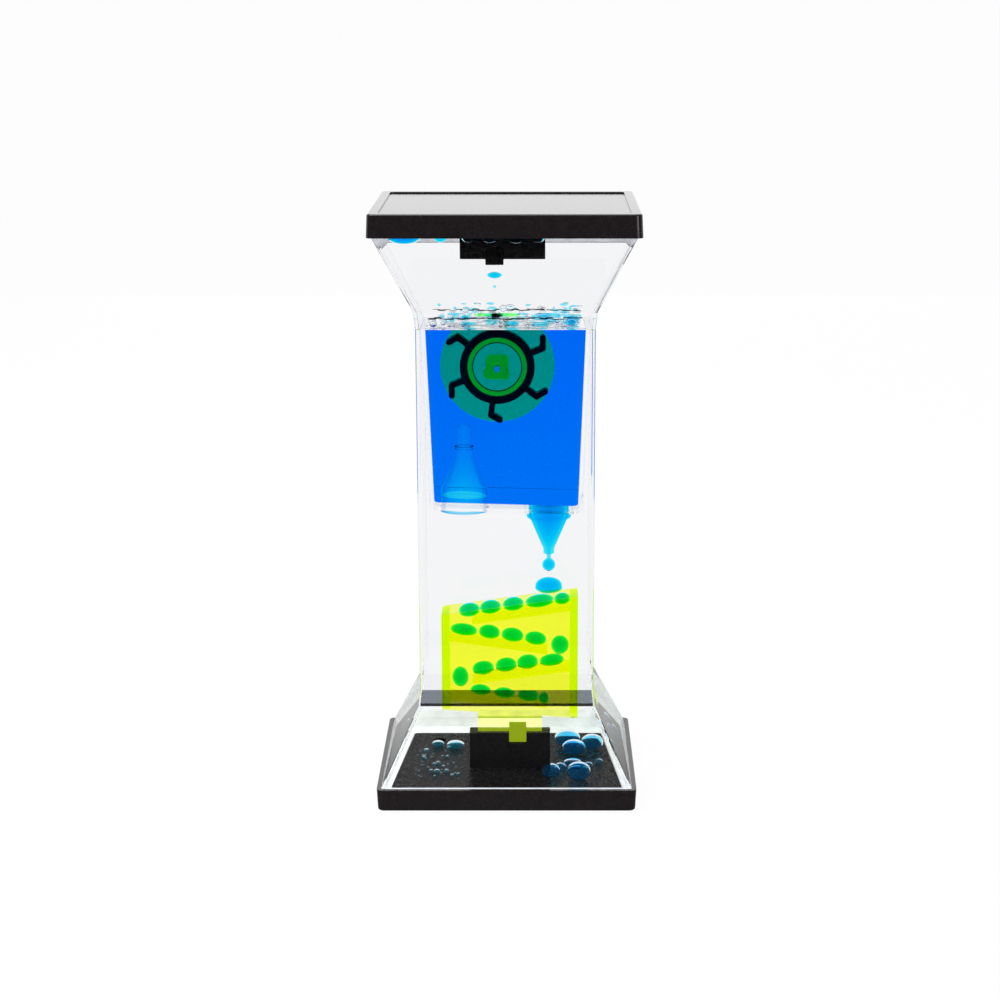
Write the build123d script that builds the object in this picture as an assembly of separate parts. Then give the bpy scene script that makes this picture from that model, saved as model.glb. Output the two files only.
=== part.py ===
from build123d import *
import math
import os

# Liquid motion timer: a sealed clear case between two black end caps. Dyed water in the upper cup drips
# through a funnel onto a zig-zag slide, and clear oil rises through a second funnel and turns a wheel.
# Millimetres, +Z up, x across the front, y from front to back, origin in the middle of the footprint.

os.makedirs("parts", exist_ok=True)

# Whole object
total_height = 149.0

# End caps
cap_width = 65.0
cap_depth = 52.5
cap_height = 5.6
cap_corner = 1.6
cap_inner_corner = 1.0
cap_draft = 0.25
cap_edge = 0.5
cap_lip = 1.05
cap_floor = 4.0
cap_moat = 2.2
pad_margin_x = 2.75
pad_margin_y = 5.0
pad_clearance = 0.1
cap_rim = 2.7
cap_recess = 0.6

# Clear case: hopper foot, flare, short collar and square tube
foot_clearance = 0.1
case_corner = 0.6
flare_height = 19.0
flare_wall = 1.6
collar_height = 4.15
collar_spread = 0.45
tube_width = 43.5
tube_depth = 33.4
tube_wall = 1.0

# Drafted cup that hangs from the upper hopper inside the tube
cup_clearance = 0.15
cup_wall = 1.1
cup_taper = 1.65
partition_share = 0.522
cup_floor = 2.0
cup_corner = 2.6
cup_bottom_round = 1.6
cup_inner_round = 1.2

# Funnels in the cup floor
funnel_share = 0.2718
boss_height = 3.2
boss_wall = 1.0
spigot_clearance = 0.05
spigot_wall = 0.45
flange_thickness = 0.9
flange_overhang = 0.4
slide_throat = 10.2
slide_spigot_height = 2.6
slide_cone_height = 8.0
slide_neck_length = 1.4
slide_neck_bore = 1.6
nozzle_wall = 0.6
wheel_throat = 11.5
wheel_spigot_rise = 1.7
wheel_cone_share = 0.549
wheel_neck_bore = 3.1
wheel_waist_height = 0.6
wheel_waist_share = 0.304
wheel_lip = 0.35
wheel_lip_height = 0.6

# Water wheel
wheel_x = -2.2
wheel_drop = 11.05
wheel_radius = 14.2
wheel_disc = 1.0
wheel_width = 4.5
drum_share = 0.651
drum_wall = 1.9
step_ring_wall = 1.1
step_ring_height = 2.8
ring_seat_gap = 0.05
hub_size = 5.7
hub_corner = 1.2
hub_overhang = 0.4
paddle_count = 6
paddle_start_angle = 82.5
paddle_thickness = 1.5
paddle_margin = 2.0
paddle_foot = 2.5
paddle_foot_lean = 22.0
axle_diameter = 1.6
axle_press_gap = 0.01
axle_running_gap = 0.05
axle_seat = 2.8
axle_end_gap = 0.2
bearing_gap = 0.4
bearing_tip = 4.0
bearing_root = 6.4

# Sockets and slide
socket_x = 0.7
socket_width = 20.6
base_socket_height = 11.1
top_socket_height = 6.6
socket_front_wall = 1.5
socket_back_wall = 1.5
socket_corner = 0.4
key_offset = 2.0
key_width = 4.4
key_rise = 1.5
notch_depth = 2.9
slot_floor = 1.6
leg_width = 16.4
leg_clearance = 0.05
slide_margin = 3.45
slide_plate = 1.2
slide_side = 2.0
slide_channel = 9.6
slide_fall = 12.7
leg_show = 3.1
slide_bottom_slope = 0.065
ramp_count = 4
ramp_pitch_share = 0.2658
ramp_first_share = 0.3375
ramp_fall_share = 0.533
ramp_thickness = 1.0
ramp_gap = 5.8

# Liquids
wet_gap = 0.05
water_rise = 1.35
wheel_sweep_gap = 0.4
stream_share = 0.319
hanging_radius = 1.72
hanging_neck_length = 1.2
landing_size = 6.6
landing_height = 4.6
landing_gap = 0.4
drop_length = 5.3
drop_height_share = 0.46
drop_depth_share = 0.5
drop_spacing = 5.9
floor_drop_radius = 3.0
floor_drop_sink_share = 0.35
ceiling_drop_radius = 2.4
ceiling_drop_sink_share = 1.2
bead_radius = 0.8
bead_waist_share = 0.75
bead_count = 5
bead_spread = 2.6
surface_bead_width = 3.0
surface_bead_columns = 4
surface_bead_height_share = 0.6

# Fill plug
plug_x = -18.0
plug_y = 12.0
plug_shank = 3.6
plug_head = 6.0
plug_head_height = 0.5
plug_gap = 0.05

# Places of the loose drops: shares of the floor's half width and half depth, then of the usual radius
floor_drop_places = [(0.59, -0.62, 0.93), (0.48, -0.22, 0.87), (0.75, -0.18, 1.0), (0.76, 0.28, 1.2),
                     (0.52, 0.4, 1.07)]
ceiling_drop_places = [(-0.83, -0.64, 1.08), (-0.61, -0.72, 1.25), (-0.39, -0.68, 0.75), (0.3, -0.68, 0.67)]
bead_middle = (-0.66, -0.26)
golden_angle = 137.5

# Values that follow from the sizes above
standing = (Align.CENTER, Align.CENTER, Align.MIN)
joint_z = cap_height + flare_height + collar_height
upper_joint_z = total_height - joint_z
neck_z = cap_height + flare_height
foot_width = cap_width - 2 * (cap_lip + foot_clearance)
foot_depth = cap_depth - 2 * (cap_lip + foot_clearance)
neck_width = tube_width + 2 * collar_spread
neck_depth = tube_depth + 2 * collar_spread
tube_bore_width = tube_width - 2 * tube_wall
tube_bore_depth = tube_depth - 2 * tube_wall
cup_width = tube_bore_width - 2 * cup_clearance
cup_depth = tube_bore_depth - 2 * cup_clearance
cup_bore_width = cup_width - 2 * cup_wall
cup_bore_depth = cup_depth - 2 * cup_wall
cup_floor_top = joint_z + partition_share * (upper_joint_z - joint_z)
cup_floor_bottom = cup_floor_top - cup_floor
boss_z = cup_floor_bottom - boss_height
ceiling_z = total_height - cap_floor
floor_half_width = foot_width / 2 - flare_wall
floor_half_depth = foot_depth / 2 - flare_wall
pad_width = 2 * (floor_half_width - pad_margin_x)
pad_depth = 2 * (floor_half_depth - pad_margin_y)
funnel_offset = funnel_share * cup_bore_width
nozzle_tip_z = boss_z - flange_thickness - slide_cone_height - slide_neck_length
water_level = upper_joint_z + water_rise
wheel_z = upper_joint_z - wheel_drop
room_under_wheel = wheel_z - wheel_radius - cup_floor_top
wheel_cone_height = wheel_cone_share * room_under_wheel
stream_length = stream_share * room_under_wheel
drum_outer = drum_share * wheel_radius
paddle_reach = wheel_radius - paddle_margin
hub_half = wheel_width / 2 + hub_overhang
bearing_y = hub_half + bearing_gap
axle_half = bearing_y + axle_seat
leg_thickness = slide_plate
slide_front_y = -slide_channel / 2
socket_slot = leg_thickness + 2 * leg_clearance
socket_depth = socket_front_wall + socket_slot + socket_back_wall
socket_slot_y = slide_front_y - leg_thickness / 2
leg_bottom_z = cap_floor + slot_floor
slide_left = socket_x - tube_bore_width / 2 + slide_margin
slide_right = socket_x + tube_bore_width / 2 - slide_margin
channel_left = slide_left + slide_side
channel_right = slide_right - slide_side
slide_top_z = nozzle_tip_z - slide_fall
slide_bottom_z = cap_floor + base_socket_height + leg_show
ramp_pitch = ramp_pitch_share * (slide_top_z - slide_bottom_z)
ramp_first_z = slide_top_z - ramp_first_share * ramp_pitch
slide_slope = ramp_fall_share * ramp_pitch / (channel_right - channel_left)
drop_height = drop_height_share * ramp_pitch
drop_depth = drop_depth_share * slide_channel


def section(width, depth, corner, z):
    """Rounded rectangle lying flat at height z."""
    return Pos(0, 0, z) * RectangleRounded(width, depth, corner)


def plain_section(width, depth, z):
    """Rectangle lying flat at height z."""
    return Pos(0, 0, z) * Rectangle(width, depth)


def stack(sections):
    """Straight-sided solid through a pile of flat sections."""
    return loft([outline.face() for outline in sections], ruled=True)


def pillar(radius, z_low, z_high):
    """Upright cylinder round the z axis between two heights."""
    return Pos(0, 0, z_low) * Cylinder(radius, z_high - z_low, align=standing)


def cone(radius_low, radius_high, z_low, z_high):
    """Upright cone round the z axis between two heights."""
    return Pos(0, 0, z_low) * Cone(radius_low, radius_high, z_high - z_low, align=standing)


def turn_over(piece):
    """The piece moved to the other end of the case, which is turned about the y axis."""
    return Pos(0, 0, total_height) * Rot(0, 180, 0) * piece


def upright(points, y_front, y_back):
    """Plate between two depths whose outline is given by x and z points."""
    plane = Plane(origin=(0, y_back, 0), x_dir=(1, 0, 0), z_dir=(0, -1, 0))
    outline = make_face(Polyline(*points, close=True))
    return extrude(plane * outline, amount=y_back - y_front)


def rectangle(left, right, low, high):
    """Corners of an upright rectangle, for a plate."""
    return [(left, low), (right, low), (right, high), (left, high)]


def turned(edges, x):
    """Solid of revolution about a vertical axis at x, from a closed outline in radius and height."""
    return Pos(x, 0, 0) * revolve(Plane.XZ * make_face(edges), Axis.Z)


def hopper_outside():
    """Sections of a hopper's outer form, from the cap's moat to the joint of the tube."""
    return [plain_section(foot_width, foot_depth, cap_moat),
            plain_section(foot_width, foot_depth, cap_height),
            plain_section(neck_width, neck_depth, neck_z),
            plain_section(tube_width, tube_depth, joint_z)]


def hopper_inside(bore_width, bore_depth):
    """Sections of a hopper's hollow, which narrows to a bore at the joint."""
    wall = 2 * flare_wall
    return [plain_section(foot_width - wall, foot_depth - wall, cap_floor),
            plain_section(foot_width - wall, foot_depth - wall, cap_height),
            plain_section(neck_width - wall, neck_depth - wall, neck_z),
            plain_section(bore_width, bore_depth, joint_z)]


def foot_opening():
    """Opening inside a hopper's foot flange, which takes the cap's pad."""
    opening = plain_section(pad_width + 2 * pad_clearance, pad_depth + 2 * pad_clearance, cap_moat)
    return extrude(opening, amount=cap_floor - cap_moat)


def cut_corners(body):
    """The body with a small flat along each of its upright corners."""
    rising = [edge for edge in body.edges() if edge.start_point().Z != edge.end_point().Z]
    return chamfer(rising, case_corner)


def cap():
    """Shallow tray that closes a hopper: a pad inside a moat for the foot, and a recess in its outer face."""
    face_width = cap_width - 2 * cap_draft
    face_depth = cap_depth - 2 * cap_draft
    body = stack([section(face_width - 2 * cap_edge, face_depth - 2 * cap_edge, cap_corner - cap_edge, 0),
                  section(face_width, face_depth, cap_corner, cap_edge),
                  section(cap_width, cap_depth, cap_corner, cap_height)])
    pocket_width = foot_width + 2 * foot_clearance
    pocket_depth = foot_depth + 2 * foot_clearance
    body -= tube_between(pocket_width, pocket_depth, cap_inner_corner, cap_moat, cap_height)
    body += tube_between(pad_width, pad_depth, cap_inner_corner, cap_moat, cap_floor)
    recess_width = face_width - 2 * cap_rim
    recess_depth = face_depth - 2 * cap_rim
    return body - tube_between(recess_width, recess_depth, cap_inner_corner, 0, cap_recess)


def base_cap():
    """Cap with the filling hole through its floor."""
    return cap() - Pos(plug_x, plug_y, 0) * pillar(plug_shank / 2 + plug_gap, cap_recess, cap_floor)


def fill_plug():
    """Stepped plug pressed into the filling hole, with its head inside the recess."""
    head = pillar(plug_head / 2, cap_recess - plug_head_height, cap_recess)
    return Pos(plug_x, plug_y, 0) * (head + pillar(plug_shank / 2, cap_recess, cap_floor))


def socket(height):
    """Block on a cap floor with a slot for the slide's leg, a notch in front and a key post behind."""
    top = cap_floor + height
    y_front = socket_slot_y - socket_slot / 2 - socket_front_wall
    y_back = y_front + socket_depth
    y_slot_back = y_back - socket_back_wall
    centre_y = (y_front + y_back) / 2
    outline = RectangleRounded(socket_width, socket_depth, socket_corner)
    block = Pos(socket_x, centre_y, cap_floor) * extrude(outline, amount=height)
    key_left = socket_x + key_offset - key_width / 2
    key_right = key_left + key_width
    post = upright(rectangle(key_left, key_right, top, top + key_rise), y_slot_back, y_back)
    slot_left = socket_x - leg_width / 2 - leg_clearance
    slot_right = socket_x + leg_width / 2 + leg_clearance
    slot_outline = rectangle(slot_left, slot_right, leg_bottom_z, top)
    slot = upright(slot_outline, y_slot_back - socket_slot, y_slot_back)
    notch = upright(rectangle(key_left, key_right, top - notch_depth, top), y_front, y_slot_back)
    return block + post - slot - notch


def cup_sections(width, depth, corner, z, edge):
    """Sections of a cup that widens upwards to the joint, with its bottom edge rounded in two facets."""
    facet = edge * (1 - math.sqrt(0.5))
    sections = []
    for inset, rise in ((edge, 0), (facet, facet), (0, edge)):
        reach = 2 * (cup_taper + inset)
        sections.append(section(width - reach, depth - reach, corner - inset, z + rise))
    return sections + [section(width, depth, corner, upper_joint_z)]


def cup_outside():
    """Outer form of the drafted cup."""
    return stack(cup_sections(cup_width, cup_depth, cup_corner, cup_floor_bottom, cup_bottom_round))


def cup_inside(gap=0.0):
    """Hollow of the cup from its floor to the joint, drawn in by a gap on all sides."""
    corner = cup_corner - cup_wall - gap
    return stack(cup_sections(cup_bore_width - 2 * gap, cup_bore_depth - 2 * gap, corner, cup_floor_top + gap,
                              cup_inner_round))


def tube_between(width, depth, corner, z_low, z_high):
    """Straight upright prism."""
    return extrude(section(width, depth, corner, z_low), amount=z_high - z_low)


def lower_case():
    """Lower hopper with the square tube that reaches up to the upper hopper."""
    outside = hopper_outside() + [plain_section(tube_width, tube_depth, upper_joint_z)]
    inside = hopper_inside(tube_bore_width, tube_bore_depth)
    inside += [plain_section(tube_bore_width, tube_bore_depth, upper_joint_z)]
    return cut_corners(stack(outside)) - stack(inside) - foot_opening()


def funnel_boss(x, throat):
    """Short round boss under the cup floor that takes a funnel's spigot."""
    return Pos(x, 0, 0) * pillar(throat / 2 + boss_wall, boss_z, cup_floor_bottom)


def funnel_hole(x, throat):
    """Round hole through the cup floor, the rounding round its edge and its boss."""
    return Pos(x, 0, 0) * pillar(throat / 2, boss_z, cup_floor_top + cup_inner_round)


def upper_case():
    """Upper hopper with the drafted cup, whose floor is the partition that carries both funnels."""
    body = turn_over(cut_corners(stack(hopper_outside()))) + cup_outside()
    body += funnel_boss(funnel_offset, slide_throat) + funnel_boss(-funnel_offset, wheel_throat)
    body -= turn_over(stack(hopper_inside(cup_bore_width, cup_bore_depth)) + foot_opening())
    body -= cup_inside()
    return body - funnel_hole(funnel_offset, slide_throat) - funnel_hole(-funnel_offset, wheel_throat)


def slide_funnel_bore():
    """Radius and height of the slide funnel's bore, from the spigot's top to the tip."""
    spigot = slide_throat / 2 - spigot_clearance - spigot_wall
    flange_low = boss_z - flange_thickness
    tip_top = flange_low - slide_cone_height
    return [(spigot, boss_z + slide_spigot_height), (spigot - spigot_wall, flange_low),
            (slide_neck_bore / 2, tip_top), (slide_neck_bore / 2, tip_top - slide_neck_length)]


def slide_funnel():
    """Nozzle that points down: spigot in the boss, flange against it, cone and narrow neck."""
    bore = slide_funnel_bore()
    outer = slide_throat / 2 - spigot_clearance
    flange = slide_throat / 2 + flange_overhang
    outline = [bore[0], bore[1], bore[2], bore[3], (bore[3][0] + nozzle_wall, bore[3][1]),
               (bore[2][0] + nozzle_wall, bore[2][1]), (bore[1][0] + nozzle_wall, bore[1][1]),
               (flange, bore[1][1]), (flange, boss_z), (outer, boss_z), (outer, bore[0][1])]
    return turned(Polyline(*outline, close=True), funnel_offset)


def wheel_funnel_heights():
    """Heights of the wheel funnel: flange underside, cone foot, cone top and lip top."""
    cone_foot = cup_floor_top + wheel_spigot_rise
    cone_top = cone_foot + wheel_cone_height
    return boss_z - flange_thickness, cone_foot, cone_top, cone_top + wheel_lip_height


def wheel_funnel():
    """Nozzle that points up: flange under the boss, spigot through the floor, bell-shaped cone and lip."""
    flange_low, cone_foot, cone_top, lip_top = wheel_funnel_heights()
    outer = wheel_throat / 2 - spigot_clearance
    flange = wheel_throat / 2 + flange_overhang
    inner = outer - spigot_wall
    tip_bore = wheel_neck_bore / 2
    tip = tip_bore + nozzle_wall
    waist_z = cone_foot + wheel_waist_height * wheel_cone_height
    waist = tip + wheel_waist_share * (outer - tip)
    edges = Polyline((tip, cone_top), (tip + wheel_lip, cone_top), (tip + wheel_lip, lip_top),
                     (tip_bore, lip_top), (tip_bore, cone_top))
    edges += ThreePointArc((tip_bore, cone_top), (waist - nozzle_wall, waist_z), (inner, cone_foot))
    edges += Polyline((inner, cone_foot), (inner, flange_low), (flange, flange_low), (flange, boss_z),
                      (outer, boss_z), (outer, cone_foot))
    edges += ThreePointArc((outer, cone_foot), (waist, waist_z), (tip, cone_top))
    return turned(edges, -funnel_offset)


def on_wheel(piece):
    """A piece drawn round the z axis, set on the wheel's axis with its front towards the viewer."""
    return Plane(origin=(wheel_x, 0, wheel_z), x_dir=(1, 0, 0), z_dir=(0, -1, 0)) * piece


def paddle_outline():
    """Stem that leaves the drum and the foot that hooks round its end."""
    root = drum_outer - drum_wall / 2
    stem = Pos((root + paddle_reach) / 2, 0) * Rectangle(paddle_reach - root, paddle_thickness)
    foot = Pos(paddle_foot / 2, 0) * SlotCenterToCenter(paddle_foot, paddle_thickness)
    return stem + Pos(paddle_reach, 0) * Rot(0, 0, 90 - paddle_foot_lean) * foot


def water_wheel():
    """Disc with a stepped ring that seats the paddles, and a square hub for the pin."""
    back = -wheel_width / 2
    wheel = Pos(0, 0, back) * extrude(Circle(wheel_radius), amount=wheel_disc)
    seat = drum_outer - drum_wall - ring_seat_gap
    step = Circle(seat) - Circle(seat - step_ring_wall)
    wheel += Pos(0, 0, back + wheel_disc) * extrude(step, amount=step_ring_height)
    hub = RectangleRounded(hub_size, hub_size, hub_corner)
    wheel += Pos(0, 0, -hub_half) * extrude(hub, amount=2 * hub_half)
    return on_wheel(wheel - Cylinder(axle_diameter / 2 + axle_press_gap, 4 * hub_half))


def paddle_ring():
    """Ring pushed over the disc's step, with hooked paddles round it."""
    rim = Circle(drum_outer)
    for index in range(paddle_count):
        rim += Rot(0, 0, paddle_start_angle + index * 360 / paddle_count) * paddle_outline()
    rim -= Circle(drum_outer - drum_wall)
    return on_wheel(Pos(0, 0, wheel_disc - wheel_width / 2) * extrude(rim, amount=wheel_width - wheel_disc))


def wheel_axle():
    """Plain pin pressed in the hub."""
    return on_wheel(Cylinder(axle_diameter / 2, 2 * axle_half))


def bearing(side):
    """Tapered boss on the cup's front or back wall with a blind hole for the pin."""
    boss = cone(bearing_tip / 2, bearing_root / 2, bearing_y, cup_bore_depth / 2)
    boss -= pillar(axle_diameter / 2 + axle_running_gap, bearing_y, axle_half + axle_end_gap)
    if side < 0:
        boss = Rot(180, 0, 0) * boss
    return on_wheel(boss) & cup_inside()


def slide_edge(x, middle_z, slope):
    """Height at x of a sloping edge that is middle_z high in the middle of the slide."""
    return middle_z + slope * (x - socket_x)


def slide_outline():
    """Outline of the slide's plates, with a sloping top and bottom."""
    return [(slide_left, slide_edge(slide_left, slide_bottom_z, -slide_bottom_slope)),
            (slide_right, slide_edge(slide_right, slide_bottom_z, -slide_bottom_slope)),
            (slide_right, slide_edge(slide_right, slide_top_z, slide_slope)),
            (slide_left, slide_edge(slide_left, slide_top_z, slide_slope))]


def ramp_line(index):
    """Ends and slope of a ramp: even ramps fall to the left, odd ones to the right."""
    slope = slide_slope if index % 2 == 0 else -slide_slope
    start = channel_left + ramp_gap if index % 2 == 0 else channel_left
    end = channel_right if index % 2 == 0 else channel_right - ramp_gap
    return start, end, ramp_first_z - index * ramp_pitch, slope


def ramp_top(index, x):
    """Height of a ramp's upper face at x."""
    return slide_edge(x, ramp_line(index)[2], ramp_line(index)[3])


def slide_tray():
    """Back plate with both side walls and the ramps that lead drops to and fro."""
    back = slide_channel / 2
    low_left, low_right, high_right, high_left = slide_outline()
    tray = upright(slide_outline(), back, back + slide_plate)
    inner_low = slide_edge(channel_left, slide_bottom_z, -slide_bottom_slope)
    inner_high = slide_edge(channel_left, slide_top_z, slide_slope)
    tray += upright([low_left, (channel_left, inner_low), (channel_left, inner_high), high_left], -back, back)
    inner_low = slide_edge(channel_right, slide_bottom_z, -slide_bottom_slope)
    inner_high = slide_edge(channel_right, slide_top_z, slide_slope)
    tray += upright([(channel_right, inner_low), low_right, high_right, (channel_right, inner_high)],
                    -back, back)
    for index in range(ramp_count):
        start, end, middle_z, slope = ramp_line(index)
        z_start = slide_edge(start, middle_z, slope)
        z_end = slide_edge(end, middle_z, slope)
        tray += upright([(start, z_start - ramp_thickness), (end, z_end - ramp_thickness), (end, z_end),
                         (start, z_start)], -back, back)
    return tray


def slide_front():
    """Front plate that closes the channel, with the leg that plugs into the base socket."""
    y_front = slide_front_y - slide_plate
    plate = upright(slide_outline(), y_front, slide_front_y)
    leg_left = socket_x - leg_width / 2
    leg_right = socket_x + leg_width / 2
    leg = upright(rectangle(leg_left, leg_right, leg_bottom_z, slide_bottom_z + slide_plate), y_front,
                  slide_front_y)
    return plate + leg


def spheroid(length, depth, height):
    """Drop of three different diameters, centred on the origin."""
    return scale(Sphere(0.5), by=(length, depth, height))


def blue_water():
    """Dyed water in the cup, clear of the wheel's sweep, and down through the slide funnel."""
    hopper = turn_over(stack(hopper_inside(cup_bore_width - 2 * wet_gap, cup_bore_depth - 2 * wet_gap)))
    above = tube_between(cup_width, cup_depth, cup_corner, upper_joint_z, water_level)
    water = cup_inside(wet_gap) + (hopper & above)
    sweep = Cylinder(wheel_radius + wheel_sweep_gap, 2 * bearing_y)
    pin = Cylinder(bearing_root / 2 + wet_gap, 2 * cup_depth)
    water -= on_wheel(sweep) + on_wheel(pin)
    _, cone_foot, cone_top, lip_top = wheel_funnel_heights()
    foot = wheel_throat / 2 + wet_gap
    tip = wheel_neck_bore / 2 + nozzle_wall + wheel_lip + wet_gap
    passage = pillar(foot, cup_floor_top, cone_foot) + cone(foot, tip, cone_foot, cone_top)
    stream_top = lip_top + stream_length + wet_gap
    water -= Pos(-funnel_offset, 0, 0) * (passage + pillar(tip, cone_top, stream_top))
    bore = [(radius - wet_gap, z) for radius, z in slide_funnel_bore()]
    throat = slide_throat / 2 - wet_gap
    outline = [(0, bore[3][1]), bore[3], bore[2], bore[1], bore[0], (throat, bore[0][1] + wet_gap),
               (throat, cup_floor_top + 2 * wet_gap), (0, cup_floor_top + 2 * wet_gap)]
    return water + turned(Polyline(*outline, close=True), funnel_offset)


def oil_stream():
    """Clear oil that leaves the wheel funnel's lip as a round-ended column."""
    lip_top = wheel_funnel_heights()[3]
    radius = wheel_neck_bore / 2
    shoulder = lip_top + stream_length - radius
    diagonal = radius * math.sqrt(0.5)
    edges = Polyline((radius, shoulder), (radius, lip_top), (0, lip_top), (0, shoulder + radius))
    edges += ThreePointArc((0, shoulder + radius), (diagonal, shoulder + diagonal), (radius, shoulder))
    return turned(edges, -funnel_offset)


def hanging_drop():
    """Drop that swells under the slide funnel's tip, still joined to it by a thin neck."""
    neck = slide_neck_bore / 2
    middle = nozzle_tip_z - hanging_neck_length - hanging_radius
    shoulder = middle + math.sqrt(hanging_radius ** 2 - neck ** 2)
    edges = Polyline((0, middle - hanging_radius), (0, nozzle_tip_z), (neck, nozzle_tip_z), (neck, shoulder))
    edges += ThreePointArc((neck, shoulder), (hanging_radius, middle), (0, middle - hanging_radius))
    return turned(edges, funnel_offset)


def resting(index, x):
    """Drop that rests on a ramp at x, turned to the ramp's slope."""
    angle = math.degrees(math.atan(ramp_line(index)[3]))
    z = ramp_top(index, x) + (drop_height / 2 + wet_gap) / math.cos(math.radians(angle))
    return Pos(x, 0, z) * Rot(0, -angle, 0) * spheroid(drop_length, drop_depth, drop_height)


def slide_drops():
    """Rows of drops on the ramps, spaced from the upper end of each ramp to its lower end."""
    drops = []
    for index in range(ramp_count):
        start, end = ramp_line(index)[:2]
        count = int((end - start) / drop_spacing)
        for place in range(count):
            drops.append(resting(index, start + (place + 0.5) * (end - start) / count))
    return Compound(children=drops)


def landing_drop():
    """Flattened drop that has just landed on the first row."""
    x = funnel_offset
    z = ramp_top(0, x) + drop_height + landing_gap + landing_height / 2
    return Pos(x, 0, z) * spheroid(landing_size, drop_depth, landing_height)


def dome(radius, sink):
    """Ball that rests on the plane z = 0 and has lost a share of its radius below it."""
    middle = radius * (1 - sink)
    low_angle = math.asin(sink - 1)
    half_angle = (low_angle + math.pi / 2) / 2
    foot = (radius * math.cos(low_angle), 0)
    top = (0, middle + radius)
    edges = Polyline(top, (0, 0), foot)
    edges += ThreePointArc(foot, (radius * math.cos(half_angle), middle + radius * math.sin(half_angle)), top)
    return turned(edges, 0)


def floor_drops():
    """Large drops gathered at the right of the base floor, below the last ramp."""
    drops = []
    for x_share, y_share, size in floor_drop_places:
        place = Pos(x_share * floor_half_width, y_share * floor_half_depth, cap_floor)
        drops.append(place * dome(size * floor_drop_radius, floor_drop_sink_share))
    return Compound(children=drops)


def floor_beads():
    """Fine beads scattered at the left of the base floor, each turned a golden angle from the last."""
    top = bead_radius * (2 - floor_drop_sink_share)
    profile = [(0, 0), (bead_waist_share * bead_radius, 0), (bead_radius, top / 3),
               (bead_waist_share * bead_radius, top * 3 / 4), (0, top)]
    beads = []
    for index in range(bead_count):
        angle = math.radians(golden_angle * index)
        reach = bead_spread * math.sqrt(index)
        x = bead_middle[0] * floor_half_width + reach * math.cos(angle)
        y = bead_middle[1] * floor_half_depth + reach * math.sin(angle)
        beads.append(Pos(x, y, cap_floor) * turned(Polyline(*profile, close=True), 0))
    return Compound(children=beads)


def ceiling_drops():
    """Shallow drops that cling under the top cap, in front of the top socket."""
    drops = []
    for x_share, y_share, size in ceiling_drop_places:
        place = Pos(x_share * floor_half_width, y_share * floor_half_depth, ceiling_z)
        drops.append(place * Rot(180, 0, 0) * dome(size * ceiling_drop_radius, ceiling_drop_sink_share))
    return Compound(children=drops)


def surface_beads():
    """Beads that float on the water in front of the wheel and behind it."""
    beads = []
    pitch = cup_bore_width / (surface_bead_columns + 1)
    height = surface_bead_height_share * surface_bead_width
    for y in (surface_bead_width - cup_bore_depth / 2, cup_bore_depth / 2 - surface_bead_width):
        for column in range(surface_bead_columns):
            x = (column - (surface_bead_columns - 1) / 2) * pitch
            bead = spheroid(surface_bead_width, surface_bead_width, height)
            beads.append(Pos(x, y, water_level + wet_gap + height / 2) * bead)
    return Compound(children=beads)


pieces = {
    "base_cap": base_cap(),
    "top_cap": turn_over(cap()),
    "base_socket": socket(base_socket_height),
    "top_socket": turn_over(socket(top_socket_height)),
    "lower_case": lower_case(),
    "upper_case": upper_case(),
    "slide_funnel": slide_funnel(),
    "wheel_funnel": wheel_funnel(),
    "water_wheel": water_wheel(),
    "paddle_ring": paddle_ring(),
    "wheel_axle": wheel_axle(),
    "front_bearing": bearing(1),
    "back_bearing": bearing(-1),
    "slide_tray": slide_tray(),
    "slide_front": slide_front(),
    "fill_plug": fill_plug(),
    "blue_water": blue_water(),
    "oil_stream": oil_stream(),
    "hanging_drop": hanging_drop(),
    "landing_drop": landing_drop(),
    "slide_drops": slide_drops(),
    "floor_drops": floor_drops(),
    "floor_beads": floor_beads(),
    "ceiling_drops": ceiling_drops(),
    "surface_beads": surface_beads(),
}
for name, piece in pieces.items():
    export_step(piece, f"parts/{name}.step")
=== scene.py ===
"""Liquid motion timer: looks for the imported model, modelled and dressed in metres in the CAD frame."""
import logging
import math
import random
from contextlib import contextmanager
from dataclasses import dataclass, field
from enum import Enum, IntEnum
from typing import Callable, Iterator, Sequence

import bmesh
import bpy
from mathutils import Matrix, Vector


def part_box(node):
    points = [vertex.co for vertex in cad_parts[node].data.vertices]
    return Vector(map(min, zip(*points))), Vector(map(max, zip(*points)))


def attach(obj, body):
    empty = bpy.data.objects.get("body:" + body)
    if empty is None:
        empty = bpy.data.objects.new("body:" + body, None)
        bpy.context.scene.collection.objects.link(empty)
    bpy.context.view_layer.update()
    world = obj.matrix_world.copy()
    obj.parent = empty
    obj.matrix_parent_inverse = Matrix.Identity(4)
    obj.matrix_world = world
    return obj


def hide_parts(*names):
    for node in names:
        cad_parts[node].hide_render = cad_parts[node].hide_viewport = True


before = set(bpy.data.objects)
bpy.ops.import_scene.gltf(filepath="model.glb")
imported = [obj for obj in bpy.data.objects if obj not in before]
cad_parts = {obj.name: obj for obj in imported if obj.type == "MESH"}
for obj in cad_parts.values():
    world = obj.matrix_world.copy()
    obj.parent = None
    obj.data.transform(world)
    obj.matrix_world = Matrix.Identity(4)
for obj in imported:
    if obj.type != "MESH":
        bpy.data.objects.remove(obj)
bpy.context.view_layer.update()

MM = 0.001
NEAR = 0.001 * MM  # places closer than this count as one
EXACT = 0.000001 * MM  # heights closer than this belong to one turned ring
PAD_TAPER = 0.85  # width of a cap's pad at its back against its front
NOISE_ENDS = (0.3, 0.7)  # values of a noise that become the ends of its range
GLANCING_SHADE_STOPS = (0.45, 0.92)  # where the colour of clear matter turns from its face colour to its painted rim shade
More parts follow.
